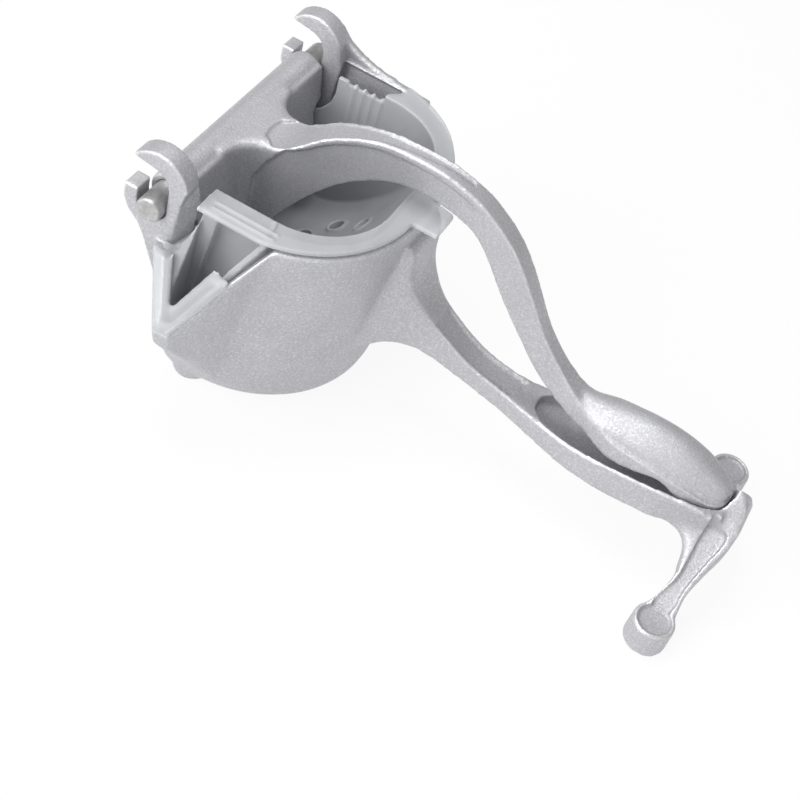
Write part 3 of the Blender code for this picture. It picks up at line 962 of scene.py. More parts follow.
    def lid(self, size: float, low: float, high: float) -> bpy.types.Object:
        """A sloping sheet over the prow's mouth.

        Args:
            size: how much larger than the mouth it is.
            low: where it starts above the mouth.
            high: where it ends.

        Returns:
            The sheet.
        """
        corners = [Vector(corner) for corner in self.prow_edge(0.0)]
        centre = sum(corners, Vector()) / len(corners)
        grown = [centre + (corner - centre) * size for corner in corners]
        return Bench.hull("lid", [(x, y, z + rise) for x, y, z in grown for rise in (low, high)])

    def fitted_ear(self, side: int) -> bpy.types.Object:
        """A hinge ear whose lower end is trimmed to the inside of the cup and its spout.

        Args:
            side: -1 for the ear by the spout, 1 for the rear one.

        Returns:
            The trimmed ear.
        """
        inside = self.wall - 0.0006
        room = self.cup("room", inside, self.cup_bottom + self.wall, 0.070)
        channel = Bench.shared(self.prow("low_channel", inside),
                               Bench.block("low", (-0.03, -0.09, 0.0), (0.09, 0.0, 0.070)))
        return Bench.combine(self.ear(side), [room, channel], "DIFFERENCE")

    def ear(self, side: int) -> bpy.types.Object:
        """A hinge ear: a post with an open slot for the pin, and a horn that hooks over it.

        Args:
            side: -1 for the ear by the spout, 1 for the rear one.

        Returns:
            The ear.
        """
        slot = [(-self.slot_radius - 0.0008, 0.0885)]
        slot += arc(-0.0008, HINGE_HEIGHT - 0.0002, self.slot_radius, 180, 345, 18)
        slot += flowing(mm("5 93, 3.6 97.4, 0.2 99.8, -4 100.6, -8.6 101.3"), 4)
        horn = arc(-0.0002, self.horn_height, self.horn_radius, 142, 10, 22)
        post = mm("11.6 89, 10.7 80, 10.5 70, 15 45, 20 12, 9 10, 7.2 22, 3 45, -2.4 69, -5.2 74.2, "
                  "-9.5 78, -11.6 82.5, -11.6 88.5")
        low, high = sorted((side * self.ear_inner, side * self.ear_outer))
        made = Bench.slab("ear", slot + horn + post, Plane.SIDE, low, high)
        for vert in made.data.vertices:
            if vert.co.x > 0.0095 and 0.065 < vert.co.z < 0.095:
                vert.co.x += self.ear_taper * (-1 if abs(vert.co.y) > 0.050 else 1)
            vert.co.y -= side * max(0.0, 0.070 - vert.co.z) * 0.2
        return made

    def rear_sweep(self) -> bpy.types.Object:
        """The web that carries the rim up to the rear horn.

        Returns:
            The web.
        """
        top = flowing(mm("7 104.2, 12.5 99, 22 94.7, 36 92.2, 48 90.9"), 8)
        outline = [(0.048, 0.080), (0.006, 0.070)] + top
        return Bench.slab("sweep", outline, Plane.SIDE, 0.0525, self.half_width - 0.0002)

    def handle_plan(self, inset: float) -> list[Point2]:
        """Half the lower handle's plan: flared at the cup, slim, then wide under the grip."""
        stations = mm("55 16.5, 70 14.5, 80 10.5, 92 7.4, 107 6.4, 124 6.8, 140 9.5, 155 12.5, 170 13.8, "
                      "188 13.8, 203 13, 213.5 12")
        return [(x, half - inset) for x, half in flowing(stations, 5)]

    def handle_top(self) -> list[Point2]:
        """The top edge of the lower handle, seen from the side."""
        return flowing(mm("55 86, 76.5 83, 81 66, 90 53.5, 107 42.4, 124 37.6, 140 35.9, 155 35.8, "
                          "171 37.4, 189 39, 203 39.8, 213.5 39"), 5)

    def handle(self) -> bpy.types.Object:
        """The lower handle, before it is hollowed.

        Returns:
            The solid handle.
        """
        under = flowing(mm("213.5 26, 196 26.2, 171 24.5, 153 25, 126 28.5, 104 33.3, 90.5 36, 78 34.5, "
                           "70 30, 55 24"), 5)
        solid = Bench.slab("handle", self.handle_top() + under, Plane.SIDE, -0.020, 0.020)
        plan = Bench.slab("plan", mirrored(self.handle_plan(0.0)), Plane.TOP, 0.0, 0.12)
        return Bench.shared(solid, plan)

    def foot_bar(self) -> bpy.types.Object:
        """The cross bar at the handle's end: a block on two arched legs, each on a round pad.

        Returns:
            The bar, its pads and its webs as one object.
        """
        arch = flowing([*mm("0 46, 3.5 42.5, 7 36.5, 13 30.5, 19 25, 28 18.5, 34 14.5"),
                        (0.0385, self.pad_height - 0.0006)], 5)
        under = flowing(mm("38.5 4, 32 8, 26 12, 20 16.2, 13 21, 8 24, 0 26.2"), 5)
        half = arch + under
        outline = half + [(-y, z) for y, z in reversed(half[1:-1])]
        bar = Bench.slab("bar", outline, Plane.END, self.pad_x - 0.0055, 0.222)
        plan = flowing(mm("222 0, 221.7 7, 220.6 13, 218.4 19, 216 28, 216.3 36, 216.5 40"), 5)
        plan += flowing(mm("204 40, 205.5 36, 207.8 30, 208.8 25, 208.6 19, 207 13, 205 10, 204.8 0"), 5)
        plan += [(x, -y) for x, y in reversed(plan[1:-1])]
        across = Bench.slab("across", plan, Plane.TOP, -0.01, 0.08)
        end = Bench.slab("end", mm("200 -10, 200 46.5, 214.5 46.5, 217.5 45.2, 220 41.5, 221.6 34.7, "
                                   "222.5 22.7, 222.5 -10"),
                         Plane.SIDE, -0.08, 0.08)
        Bench.shared(bar, across, end)
        pads = [Bench.rod("pad", self.pad_radius + 0.0002, (self.pad_x, y, 0.0),
                          (self.pad_x, y, self.pad_height), 64, self.pad_radius)
                for y in (-self.pad_y, self.pad_y)]
        return Bench.gather([bar, *pads, self.web(outline, -1), self.web(outline, 1)])

    def web(self, arch: Sequence[Point2], side: int) -> bpy.types.Object:
        """The hollow-cornered web between a leg of the foot bar and the handle.

        Args:
            arch: outline of the foot bar across the press.
            side: -1 or 1, for the side of the middle plane.

        Returns:
            The web.
        """
        turn = arc(0.1985, 0.0222, 0.0092, -90, 0, 10)
        plan = [(x, side * y) for x, y in turn + mm("212 22.2, 212 11, 198.5 11")]
        under = mm("0 26.5, 12.5 26.2, 16 23.2, 19 20.3, 24 16.8")
        above = [(side * y, z) for y, z in under + [(0.0240, 0.06), (0.0, 0.06)]]
        return Bench.shared(Bench.slab("web", plan, Plane.TOP, 0.0, 0.06),
                            Bench.slab("arch", arch, Plane.END, 0.190, 0.215),
                            Bench.slab("above", above, Plane.END, 0.190, 0.215))

    def follow_down(self, name: str, plan: Sequence[Point2], floor: Sequence[Point2]) -> bpy.types.Object:
        """A cutter open upwards, with a plan and a floor seen from the side.

        Args:
            name: of the new object.
            plan: outline from above.
            floor: points in x and z.

        Returns:
            The cutter.
        """
        cutter = Bench.slab(name, plan, Plane.TOP, 0.005, 0.075)
        side = list(floor) + [(floor[-1][0], 0.085), (floor[0][0], 0.085)]
        return Bench.shared(cutter, Bench.slab("floor", side, Plane.SIDE, -0.02, 0.02))

    def tray(self) -> bpy.types.Object:
        """The shallow tray along the slim part of the handle, with a stepped end.

        Returns:
            The cutter.
        """
        edge = [(x, y) for x, y in self.handle_plan(0.0016) if 0.092 < x < 0.127]
        plan = edge + mm("130 5.2, 130 1.4, 127.2 -1.4, 127.2 -5.2")
        plan += [(x, -y) for x, y in reversed(edge)]
        floor = [(x, z - self.relief) for x, z in self.handle_top() if 0.088 < x < 0.137]
        return self.follow_down("tray", plan, floor)

    def well(self) -> bpy.types.Object:
        """The long well that the grip rests in.

        Returns:
            The cutter.
        """
        plan = flowing(mm("136.5 0, 137.5 4.2, 143 8, 156 10.8, 170 12.1, 188 12, 203 10.8, 208.5 8.4, "
                          "211.8 5.6, 214 1.8"), 5)
        floor = flowing(mm("130 34, 150 29.5, 172 29, 198 30.5, 217 31.5"), 3)
        return self.follow_down("well", mirrored(plan[1:]) + [plan[0]], floor)

    def leg_channel(self, side: int) -> bpy.types.Object:
        """The sunk channel down a leg of the foot bar, which opens into a round floor on the pad.

        Args:
            side: -1 or 1, for the side of the middle plane.

        Returns:
            The cutter.
        """
        rim = self.relief
        outer = flowing(mm("212 9.1, 217.6 9.4, 218.4 13, 216.7 18.5, 214.5 28, 214.4 34"), 4)
        inner = flowing(mm("206.8 34, 209.5 28, 210.3 25, 210.3 19, 210.1 13, 210.4 9.5"), 4)
        radius = self.pad_radius - self.pad_ring
        turn = arc(self.pad_x, self.pad_y, radius, -58, 238, 40)
        plan = [(x, side * y) for x, y in outer + turn + inner]
        arch = [*mm("9 31.8, 11.5 29.2, 13 27.8, 19 22.6, 28 16.7, 34 13"),
                (0.0375, self.pad_height - rim), (0.056, self.pad_height - rim)]
        cross = [(side * y, z) for y, z in flowing(arch, 4)] + [(side * 0.056, 0.06), (side * 0.0090, 0.06)]
        cutter = Bench.slab("channel", plan, Plane.TOP, 0.0, 0.07)
        return Bench.shared(cutter, Bench.slab("arch", cross, Plane.END, 0.19, 0.24))

    def lip_side(self) -> bpy.types.Object:
        """What is cut away over the V of the pouring lip."""
        outline = [(0.0445, self.cup_top + 0.0001),
                   *mm("20.6 53.5, 14.2 68, 14.2 100, 44.5 100")]
        return Bench.slab("lip", outline, Plane.SIDE, -0.085, -0.050)

    def near_valley(self, points: np.ndarray) -> np.ndarray:
        """Where the prow and the cup flow into each other.

        Args:
            points: rows of x, y and z.

        Returns:
            A weight from 0 to 1 for each.
        """
        prow = np.maximum(0.0, -0.058 - points[:, 1]) / 0.012
        wide = np.maximum(np.abs(points[:, 0] - 0.022) - 0.026, 0.0) / 0.010
        high = np.maximum(0.0, points[:, 2] - 0.078) / 0.010
        back = np.maximum(0.0, points[:, 1] + 0.030) / 0.008
        return falloff(np.sqrt(prow ** 2 + wide ** 2 + high ** 2 + back ** 2), 0.1, 1.0)

    def build(self) -> bpy.types.Object:
        """Builds the whole lower casting.

        Returns:
            The fused casting, in press coordinates.
        """
        body = self.cup("lower_casting", 0.0, self.cup_bottom, self.cup_top)
        Bench.combine(body, [self.prow("prow", 0.0)], "UNION")
        room = Bench.block("slot_room", (-0.030, -0.090, self.back_wall_top), (0.0080, 0.090, 0.130))
        Bench.combine(body, [room], "DIFFERENCE")
        feet = [Bench.rod("foot", 0.0072, (0.016, y, 0.0), (0.016, y, 0.012), 40) for y in (-0.038, 0.038)]
        Bench.gather([body, self.rear_sweep(), self.handle(), self.foot_bar(), *feet])
        Bench.fuse(body, self.coarse_grain)
        Bench.soften(body, 45, self.near_valley)
        Bench.soften(body, 60, self.neck.weigh)
        Bench.soften(body, 35, self.leg_root.weigh_both)
        Bench.soften(body, 2)
        hinge_room = Bench.block("hinge_room", (-0.030, -self.ear_inner, self.back_wall_top),
                                 (0.030, self.ear_inner, 0.130))
        cutters = [self.cup("hollow", self.wall, self.cup_bottom + self.wall, self.cup_top + 0.0003),
                   self.prow("channel", self.wall), self.opening(self.wall), hinge_room, self.lip_side(),
                   Bench.block("arm_end", (-0.030, -0.090, 0.0722), (0.0130, -0.0552, 0.130)),
                   self.tray(), self.well(), self.leg_channel(-1), self.leg_channel(1)]
        Bench.combine(body, cutters, "DIFFERENCE", "MANIFOLD")
        Bench.gather([body, self.fitted_ear(-1), self.fitted_ear(1)])
        Bench.fuse(body, self.grain)
        Bench.soften(body, 3)
        return Bench.thin_out(body, self.triangles)


@dataclass
class PressArm(Part):
    """The upper lever: a barrel on the pin, a press plate, a curved ribbed arm and a spoon-shaped grip."""

    body = "arm"
    slot = "cast_aluminium"
    nodes = ("press_arm",)
    edge_marking = CAST_EDGE_MARKING

    barrel_radius: float = 0.0072
    barrel_half: float = 0.0462
    bore: float = 0.0049
    bead: float = 0.0011
    trough: float = 0.0009
    trough_end: float = 0.0028
    lip: float = 0.0030
    web_inset: float = 0.0015
    parting: float = 0.0013
    root: Region = Region((0.012, 0.0, 0.090), (0.015, 0.032, 0.012), 0.5)
    grip_root: Region = Region((0.154, 0.0, 0.053), (0.013, 0.012, 0.009), 0.4)
    coarse_grain: float = 0.0008
    grain: float = 0.00050
    triangles: int = 180000

    def top(self) -> list[Point2]:
        """The top edge of the arm, seen from the side."""
        return flowing(mm("0 91.5, 10 91.8, 22 93.7, 36 104.4, 53 111.4, 75 112.6, 90.7 109.2, "
                          "100 104.4, 108.9 97.5, 115.6 89.6, 121.6 81.2, 130.8 68, 142.4 56.6, "
                          "152 50.5, 160 48"), 8)

    def side(self) -> list[Point2]:
        """Side view of the arm: root on the barrel, over the cup, down to the grip."""
        under = flowing(mm("162 40, 150 41.5, 137.8 47.5, 128.7 55, 118.5 66.5, 109.7 77, 101 88.5, "
                           "94 95.3, 86.4 98, 76.7 99.3, 68.8 99, 61 97.5, 52 93, 43 86.5, 34 77, 26 66, "
                           "18.5 54, 15 49"), 5)
        return self.top() + under + mm("9 50, 4.8 70, 0 82")

    def half_plan(self, inset: float) -> list[Point2]:
        """Half the arm's plan: fanned out where it meets the barrel, then slim."""
        edge = flowing(mm("6.5 23, 8.5 16.5, 13 11.5, 22 9.5, 36 6.2, 53 4.4, 75 4.2, 110 4.2, 131 3.8, "
                          "142.4 4.1, 153 6, 164 8"), 6)
        return [(x, y - inset) for x, y in edge]

    def grip_stations(self) -> list[tuple[float, float, float, float]]:
        """Places along the grip: x, half-width, top and lower edge."""
        return flowing(mm("150 4.5 52 44, 158 8 52.8 40.5, 168 10.8 54.5 38, 178 11.5 55.5 39.2, "
                          "188 11.5 55 41.2, 196 11 53.2 37.2, 203 9.9 50.5 34.8, 208.5 7.8 47.5 34.5, "
                          "211.5 5 45 35.2, 213 2 43 36.5"), 4)

    def crease_height(self, x: float) -> float:
        """Height of the line where the grip's dome meets its skirt."""
        line = mm("150 47.8, 160 47.4, 170 46.2, 185 45.2, 198 43.4, 206 41, 213 39.8")
        return float(np.interp(x, [u for u, _ in line], [v for _, v in line]))

    def dome(self, x: float, half: float, top: float) -> list[Point3]:
        """Half a section of the grip, above its crease.

        Args:
            x: place along the grip.
            half: half its width there.
            top: height of its top there.

        Returns:
            The points from one side over the top to the other.
        """
        foot = self.crease_height(x)
        section = []
        for step in range(25):
            share = 1 - step / 12
            rise = max(0.0, 1 - abs(share) ** 2.1) ** 0.72
            section.append((x, half * share, foot + (top - foot) * rise))
        return section

    def grip(self) -> bpy.types.Object:
        """The spoon-shaped grip: a dome over an upright skirt with a waved lower edge.

        Returns:
            The solid grip.
        """
        rings = []
        for x, half, top, low in self.grip_stations():
            rings.append(self.dome(x, half, top) + [(x, -half, low + 0.0006), (x, -half * 0.85, low),
                                                    (x, half * 0.85, low), (x, half, low + 0.0006)])
        return Bench.loft("grip", rings)

    def crease(self) -> bpy.types.Object:
        """What is cut from round the dome, so that it stands back from the skirt's upper edge.

        Returns:
            The cutter.
        """
        cover, domes = [], []
        for x, half, top, _ in self.grip_stations():
            if 0.161 < x < 0.2128:
                foot = self.crease_height(x)
                wide, high = half + 0.004, top + 0.004
                cover.append([(x, -wide, foot), (x, wide, foot), (x, wide, high), (x, -wide, high)])
                inset = self.parting * falloff_at(x, 0.161, 0.170)
                domes.append(self.dome(x, half - inset, top + 0.0002) + [(x, -half + inset, foot - 0.003),
                                                                        (x, half - inset, foot - 0.003)])
        ends = [[(x + way, y, z) for _, y, z in ring] for ring, x, way in
                ((domes[0], domes[0][0][0], -0.002), (domes[-1], domes[-1][0][0], 0.002))]
        return Bench.combine(Bench.loft("crease", cover), [Bench.loft("dome", [ends[0], *domes, ends[1]])],
                             "DIFFERENCE")

    def plate(self) -> bpy.types.Object:
        """The plate under the barrel that squeezes the fruit, narrower than the strainer.

        Returns:
            The plate.
        """
        side = mm("-3.2 80, 6.2 90.5, 6.8 89, 10.5 70, 16.8 48, 16 44, 12.8 42.5, 10.5 44.5, 8 56, 4.5 70")
        plate = Bench.slab("plate", side, Plane.SIDE, -0.050, 0.050)
        half = mm("-45.5 95, -45.5 76.5, -40 74, -39.5 56")
        half += arc(-0.0275, 0.0545, 0.0120, 180, 270, 8)
        front = Bench.slab("front", half + [(-y, z) for y, z in reversed(half)], Plane.END, -0.02, 0.04)
        return Bench.shared(plate, front)

    def top_trough(self) -> bpy.types.Object:
        """The shallow trough between the two beads along the top of the arm.

        Returns:
            The cutter.
        """
        far = [(x, y) for x, y in self.half_plan(self.bead) if 0.0155 < x < 0.0870]
        near = [(x, -y + (2 * y - self.trough_end) * falloff_at(x, 0.048, 0.082)) for x, y in reversed(far)]
        reach = far[-1]
        end = arc(reach[0], reach[1] - self.trough_end / 2, self.trough_end / 2, 60, -60, 4)
        start = mm("12.5 -5, 11.5 -2, 11.5 2, 12.5 5")
        cutter = Bench.slab("trough", far + end + near + start, Plane.TOP, 0.07, 0.13)
        floor = [(x, z - self.trough) for x, z in self.top() if 0.012 < x < 0.100]
        floor = [(0.009, floor[0][1] + 0.0012)] + floor
        over = Bench.slab("over", floor + [(0.110, 0.13), (0.009, 0.13)], Plane.SIDE, -0.03, 0.03)
        return Bench.shared(cutter, over)

    def web_pocket(self, side: int) -> bpy.types.Object:
        """What is cut from one flank of the arm, under its top lip, so that the web stands back.

        Args:
            side: -1 or 1, for the flank.

        Returns:
            The cutter.
        """
        inner = [(x, y + 0.0002 - (self.web_inset + 0.0002) * (1 - falloff_at(x, 0.074, 0.100)))
                 for x, y in self.half_plan(0.0) if 0.0125 < x < 0.108]
        outer = [(x, 0.030) for x in (0.112, 0.0120)]
        plan = [(x, side * y) for x, y in inner + outer]
        pocket = Bench.slab("pocket", plan, Plane.TOP, 0.030, 0.125)
        lip = [(x, z - self.lip * falloff_at(x, 0.018, 0.030)) for x, z in self.top() if 0.020 < x < 0.100]
        ceiling = [(0.0125, 0.0760), (0.0165, 0.0850)] + [(x, z) for x, z in lip if x > 0.0215]
        outline = ceiling + mm("105.5 96.5, 107.5 90, 107.5 30, 12.5 30")
        under = Bench.slab("under", outline, Plane.SIDE, -0.05, 0.05)
        return Bench.shared(pocket, under)

    def build(self) -> bpy.types.Object:
        """Builds the whole press arm.

        Returns:
            The fused casting, in press coordinates.
        """
        arm = Bench.slab("press_arm", self.side(), Plane.SIDE, -0.030, 0.030)
        plan = Bench.slab("plan", mirrored([(0.0, 0.0230)] + self.half_plan(0.0)), Plane.TOP, 0.0, 0.14)
        Bench.shared(arm, plan)
        barrel = Bench.rod("barrel", self.barrel_radius, (0.0, -self.barrel_half, HINGE_HEIGHT),
                           (0.0, self.barrel_half, HINGE_HEIGHT), 72)
        Bench.gather([arm, barrel, self.plate(), self.grip()])
        Bench.fuse(arm, self.coarse_grain)
        Bench.soften(arm, 50, self.root.weigh)
        Bench.soften(arm, 25, self.grip_root.weigh)
        Bench.soften(arm, 1)
        bore = Bench.rod("bore", self.bore, (0.0, -0.06, HINGE_HEIGHT), (0.0, 0.06, HINGE_HEIGHT), 48)
        Bench.combine(arm, [self.top_trough(), self.web_pocket(-1), self.web_pocket(1), bore, self.crease()],
                      "DIFFERENCE", "MANIFOLD")
        Bench.fuse(arm, self.grain)
        Bench.soften(arm, 2)
        return Bench.thin_out(arm, self.triangles)


@dataclass
class HingePin(Part):
    """The loose steel pin with domed ends."""

    body = "pin"
    slot = "pin_steel"
    nodes = ("hinge_pin",)

    radius: float = 0.0046
    half_length: float = 0.0585
    dome: float = 0.0012
    grain: float = 0.0004

    def build(self) -> bpy.types.Object:
        """Builds the pin: a bar with rounded ends and a slightly uneven skin.

        Returns:
            The pin, in press coordinates.
        """
        pin = Bench.rod("hinge_pin_steel", self.radius, (0.0, -self.half_length, HINGE_HEIGHT),
                        (0.0, self.half_length, HINGE_HEIGHT), 64)
        mesh = Bench.edit(pin, "EDGE")
        bpy.ops.mesh.select_all(action="DESELECT")
        for edge in mesh.edges:
            if all(abs(abs(vert.co.y) - self.half_length) < 1e-5 for vert in edge.verts):
                edge.select = True
        bmesh.update_edit_mesh(pin.data)
        bpy.ops.mesh.bevel(offset=self.dome, segments=6, profile=0.6)
        Bench.close()
        Bench.fuse(pin, self.grain)
        return Bench.soften(pin, 4)


@dataclass
class StrainerLiner(Part):
    """The milky liner: strainer tub, flange on the rim, pouring channel with a lip, and a tab."""

    body = "base"
    slot = "milky_plastic"
    nodes = ("strainer_liner",)
    edge_marking = (330.0, 1100.0)

    wall: float = 0.0018
    clearance: float = 0.0003
    half_width: float = 0.042
    front: float = 0.0665
    corner: float = 0.028
    flange_low: float = 0.0917
    flange_top: float = 0.0936
    hole_radius: float = 0.0030
    hole_rows: tuple[HoleRow, ...] = ((0.0264, 0.0361, 3, 0.0167, 20.0), (0.0362, 0.0426, 4, 0.0155, 35.0),
                                      (0.0480, 0.0550, 3, 0.0175, 51.0))
    rear_top: float = 0.0912
    barrel_room: float = 0.0153
    side_wall: float = 0.0010
    bare_edge: float = -0.0060
    lip_low: float = 0.0003
    lip_high: float = 0.0038
    casting: LowerCasting = field(default_factory=LowerCasting)
    grain: float = 0.00042
    triangles: int = 150000

    def tub(self, name: str, extra: float) -> bpy.types.Object:
        """The strainer's solid form, larger by extra: a trough about the hinge.

        Args:
            name: of the new object.
            extra: how much larger than the inside it is.

        Returns:
            The solid.
        """
        radius = self.corner + extra
        half = [(-0.010, self.half_width + extra)]
        half += arc(self.front - self.corner, self.half_width - self.corner, radius, 90, 0, 18)
        solid = Bench.slab(name, mirrored(half), Plane.TOP, 0.0, 0.12)
        inside = flowing([*mm("11.5 33.8, 19 33.7, 28 37, 38 44, 47.5 54.5, 56 68, 62 80"),
                          (self.front, 0.0925)], 5)
        floor = []
        for x, z in inside:
            reach = math.hypot(x, HINGE_HEIGHT - z)
            grow = (reach + extra) / reach
            floor.append((x * grow, HINGE_HEIGHT - (HINGE_HEIGHT - z) * grow))
        back = [(0.0040 - extra, 0.130), (0.0040 - extra, 0.0710), (0.0112 - extra, 0.0350 - extra)]
        side = Bench.slab("side", back + floor + [(self.front + extra, 0.130)], Plane.SIDE, -0.06, 0.06)
        return Bench.shared(solid, side)

    def flange(self) -> bpy.types.Object:
        """The flat flange on the cup's rim, left out along the hinge side at the rear.

        Returns:
            The flange.
        """
        rim = self.casting.ring(self.casting.cup_top, 0.0011, 0.0)
        side = max(y for x, y, z in rim)
        outline = [(0.0145, side)] + [(x, y) for x, y, z in rim if x > 0.0145] + [(0.0145, -side)]
        flange = Bench.slab("flange", outline, Plane.TOP, self.flange_low, self.flange_top)
        window = [(-0.010, self.half_width + 0.001), (0.0330, self.half_width + 0.001), (0.0380, 0.0480),
                  (0.0410, 0.070), (-0.010, 0.070)]
        return Bench.combine(flange, [Bench.slab("window", window, Plane.TOP, 0.080, 0.110)], "DIFFERENCE")

    def pour_channel(self) -> bpy.types.Object:
        """The walls that line the prow, and the V-shaped lip that lies on its mouth.

        Returns:
            The channel and its lip, fused.
        """
        gap = self.casting.wall + self.clearance
        channel = self.casting.prow("pour", gap, 0.0055)
        behind = Bench.block("behind", (-0.03, -self.half_width - 0.001, -0.01), (0.09, 0.0, 0.12))
        bare = Bench.block("bare", (0.0345, -0.09, 0.0), (0.09, 0.0, 0.15))
        behind_lip = Bench.block("behind_lip", (0.0240, -0.0612, 0.0), (0.08, -0.001, 0.14))
        Bench.combine(bare, [behind_lip], "UNION")
        Bench.shared(bare, self.casting.lid(1.6, self.bare_edge, 0.06))
        Bench.combine(channel, [behind, self.casting.prow("pour_room", gap + self.wall, 0.02),
                                self.casting.opening(gap + self.wall), bare,
                                self.casting.lid(1.6, self.lip_high - 0.0004, 0.06)], "DIFFERENCE")
        lip = self.casting.lid(1.02, self.lip_low, self.lip_high)
        Bench.shared(lip, Bench.block("reach", (0.0050, -0.09, 0.0), (0.0355, -0.0558, 0.0780)))
        Bench.combine(lip, [self.casting.opening(gap + 0.0010)], "DIFFERENCE")
        side = mm("15 -44 92.5, 7.4 -56.8 74.4, 18 -72 57, 12 -44 43, 16 -64 43")
        left = Bench.hull("left_side", side + [(x - self.side_wall, y, z - 0.0004) for x, y, z in side])
        fold = [(0.0152, -0.0495, self.flange_top), (0.0225, -0.0495, self.flange_top),
                (0.0112, -0.0470, 0.0450), (0.0145, -0.0470, 0.0450)]
        frame_side = Bench.hull("fold", [(x, y + rise, z) for x, y, z in fold for rise in (0.0, 0.0040)])
        made = Bench.gather([channel, lip, left, frame_side])
        Bench.fuse(made, self.grain)
        arm_end = Bench.block("arm_end", (-0.01, -0.09, 0.0742), (0.0128, -0.0552, 0.0900))
        return Bench.combine(made, [arm_end], "DIFFERENCE", "MANIFOLD")

    def near_lip(self, points: np.ndarray) -> np.ndarray:
        """Where the pouring lip's edges are rounded.

        Args:
            points: rows of x, y and z.

        Returns:
            A weight from 0 to 1 for each.
        """
        edge = self.casting.prow_edge(0.0)
        along = Vector(edge[3]) - Vector(edge[1])
        across = Vector(edge[0]) - Vector(edge[1])
        normal = np.array(along.cross(across).normalized())
        height = np.abs((points - np.array(edge[2])) @ normal)
        return falloff(height, 0.004, 0.006) * falloff(points[:, 1], -0.0590, -0.0560)

    def tab(self) -> bpy.types.Object:
        """The small tab on the handle side that the liner is lifted by."""
        corners = mm("67 -12, 83.5 -11.5, 84 -10.5, 84 1.5, 83.2 2.5, 67 6")
        return Bench.slab("tab", corners, Plane.TOP, self.flange_low, self.flange_top)

    def ridges(self) -> list[bpy.types.Object]:
        """Two low ridges along the near flange."""
        height = self.flange_top - 0.0001
        return [Bench.rod("ridge", 0.0006, (0.0190, y, height), (0.0430, y, height), 12)
                for y in (-0.0478, -0.0508)]

    def flutes(self) -> list[bpy.types.Object]:
        """The upright ribs on the inside of the strainer's rear wall."""
        y = self.half_width + 0.0003
        return [Bench.rod("flute", 0.0008, (x, y, 0.066), (x, y, 0.0905), 12)
                for x in (0.0225, 0.0262, 0.0300, 0.0338)]

    def scallops(self) -> list[bpy.types.Object]:
        """What is cut from the rear wall's edge, between its ribs."""
        near, far, height = self.half_width - 0.002, self.half_width + 0.004, self.rear_top + 0.0004
        return [Bench.rod("scallop", 0.0015, (x, near, height), (x, far, height), 24)
                for x in (0.0206, 0.0244, 0.0281, 0.0319)]

    def holes(self) -> tuple[list[bpy.types.Object], list[bpy.types.Object]]:
        """The drain holes of the strainer.

        Returns:
            The raised rings round them, and the bars that cut them.
        """
        rings, cutters = [], []
        for x, z, count, pitch, lean in self.hole_rows:
            way = Vector((-math.sin(math.radians(lean)), 0.0, math.cos(math.radians(lean))))
            for i in range(count):
                centre = Vector((x, (i - (count - 1) / 2) * pitch, z))
                rings.append(Bench.rod("hole_ring", self.hole_radius + 0.0013, centre - way * 0.0015,
                                       centre + way * 0.0009, 28))
                cutters.append(Bench.rod("hole", self.hole_radius, centre - way * 0.006,
                                         centre + way * 0.006, 28))
        return rings, cutters

    def build(self) -> bpy.types.Object:
        """Builds the liner.

        Returns:
            The fused liner, in press coordinates.
        """
        liner = self.tub("strainer_shell", self.wall)
        rings, cutters = self.holes()
        Bench.gather([liner, self.flange(), self.tab()])
        Bench.fuse(liner, self.grain)
        spout_window = Bench.block("spout_window", (0.0145, -0.08, 0.0905), (0.0460, -0.0540, 0.12))
        top = Bench.block("top", (-0.03, -0.09, self.flange_top), (0.10, 0.09, 0.140))
        room = Bench.rod("barrel_room", self.barrel_room, (0.0, -0.07, HINGE_HEIGHT),
                         (0.0, 0.07, HINGE_HEIGHT), 96)
        above = Bench.block("above", (-0.02, -0.07, HINGE_HEIGHT), (self.barrel_room, 0.07, 0.13))
        Bench.combine(liner, [spout_window, top, self.tub("room", 0.0), room, above],
                      "DIFFERENCE", "MANIFOLD")
        Bench.gather([liner, self.pour_channel(), *self.ridges(), *self.flutes(), *rings])
        Bench.fuse(liner, self.grain)
        around = Bench.rod("channel_room", self.barrel_room, (0.0, -0.0556, HINGE_HEIGHT),
                           (0.0, 0.0, HINGE_HEIGHT), 96)
        cutters += self.scallops()
        cutters.append(Bench.block("rear_edge", (-0.03, 0.030, self.rear_top), (0.0345, 0.07, 0.12)))
        cutters += [Bench.block("cap", (-0.03, -0.09, self.flange_top + 0.0006), (0.10, 0.09, 0.14)), around]
        Bench.combine(liner, cutters, "DIFFERENCE", "MANIFOLD")
        Bench.fuse(liner, self.grain)
        Bench.soften(liner, 24, self.near_lip)
        Bench.soften(liner, 2)
        return Bench.thin_out(liner, self.triangles)


@dataclass
class Lamp:
    """A soft square lamp."""

    name: str
    place: Point3
    aim: Point3
    width: float
    watts: float

    def hang(self) -> None:
        """Adds the lamp and turns it to its aim."""
        bpy.ops.object.light_add(type="AREA", location=self.place)
        lamp = bpy.context.object
        lamp.name = self.name
        lamp.data.size = self.width
        lamp.data.energy = self.watts
        lamp.rotation_euler = (Vector(self.aim) - Vector(self.place)).to_track_quat("-Z", "Y").to_euler()


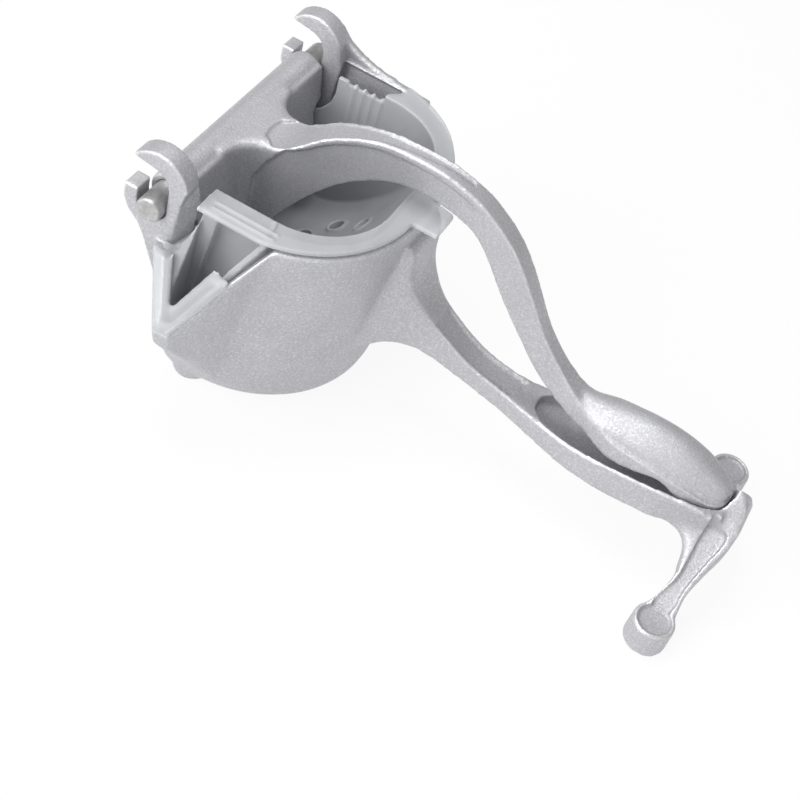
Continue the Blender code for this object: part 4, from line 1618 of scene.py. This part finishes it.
@dataclass
class Studio:
    """A plain white table, soft lamps and the camera."""

    eye: Point3 = (0.0753, -0.37315, 0.4261)
    right: Point3 = (0.8603, 0.4584, 0.2232)
    up: Point3 = (-0.484, 0.5967, 0.6399)
    ahead: Point3 = (-0.1602, 0.6586, -0.7352)
    lens: float = 67.5
    ambient: float = 0.42
    floor_glow: float = 0.9
    floor_tones: tuple[float, float] = (0.87, 0.89)

    def table(self) -> None:
        """A wide white floor that keeps the press's shadow."""
        bpy.ops.object.select_all(action="DESELECT")
        bpy.ops.mesh.primitive_plane_add(size=8.0, location=(0.0, 0.0, -0.0002))
        floor = bpy.context.object
        floor.name = "studio_floor"
        recipe = Recipe("white table")
        grain = recipe.noise(30.0)
        path = recipe.add("ShaderNodeLightPath")
        camera, glossy, through = (Wire(recipe, path.outputs[f"Is {kind} Ray"])
                                   for kind in ("Camera", "Glossy", "Transmission"))
        seen = (camera + glossy + through).clamped()
        colour = recipe.blend(grain, *((tone, tone, tone, 1.0) for tone in self.floor_tones))
        recipe.finish(base_color=colour, roughness=0.9)
        glow = recipe.add("ShaderNodeEmission", {}, {"Color": WHITE, "Strength": 1.0})
        mixed = recipe.add("ShaderNodeMixShader", {}, {0: seen * self.floor_glow, 1: recipe.shader.outputs[0],
                                                       2: glow.outputs[0]})
        recipe.feed(recipe.tree.nodes["Material Output"].inputs["Surface"], mixed.outputs[0])
        floor.data.materials.append(recipe.material)

    def sky(self) -> None:
        """An even pale light from all round, seen as white."""
        world = bpy.data.worlds.new("studio")
        bpy.context.scene.world = world
        world.use_nodes = True
        board = NodeBoard(world.node_tree)
        path = board.add("ShaderNodeLightPath")
        lit, seen = (board.add("ShaderNodeBackground", {}, {"Color": WHITE, "Strength": strength})
                     for strength in (self.ambient, 1.0))
        mixed = board.add("ShaderNodeMixShader", {}, {0: path.outputs["Is Camera Ray"], 1: lit.outputs[0],
                                                      2: seen.outputs[0]})
        board.feed(board.tree.nodes["World Output"].inputs["Surface"], mixed.outputs[0])

    def lamps(self) -> None:
        """Hangs the lamps."""
        Lamp("key", (-0.60, -0.90, 0.70), (0.0, 0.0, 0.04), 1.0, 14.0).hang()
        Lamp("top", (-0.25, 0.05, 1.0), (0.0, 0.0, 0.03), 0.5, 4.5).hang()
        Lamp("side", (0.70, -0.55, 0.35), (0.05, 0.0, 0.04), 0.5, 1.0).hang()

    def camera(self) -> None:
        """Sets up the camera."""
        bpy.ops.object.camera_add()
        camera = bpy.context.object
        camera.name = "studio_camera"
        camera.data.lens = self.lens
        camera.data.sensor_width = 36.0
        camera.data.clip_start = 0.01
        columns = (self.right, self.up, tuple(-value for value in self.ahead), self.eye)
        camera.matrix_world = Matrix([*zip(*columns), (0, 0, 0, 1)])
        bpy.context.scene.camera = camera

    def build(self) -> None:
        """Sets the whole studio up."""
        bpy.context.scene.view_settings.view_transform = "Standard"
        self.table()
        self.sky()
        self.lamps()
        self.camera()


def main() -> None:
    """Builds the press piece by piece, and the studio round it."""
    logging.basicConfig(level=logging.INFO, format="%(name)s: %(message)s")
    home = hinge_foot()
    cast = CastFinish().make()
    for maker, finish in ((LowerCasting(), cast), (PressArm(), cast), (HingePin(), PinFinish().make()),
                          (StrainerLiner(), MilkyFinish().make())):
        LOG.info("building %s", type(maker).__name__)
        maker.dress(maker.build(), finish, home)
    Studio().build()


if __name__ == "__main__":
    main()
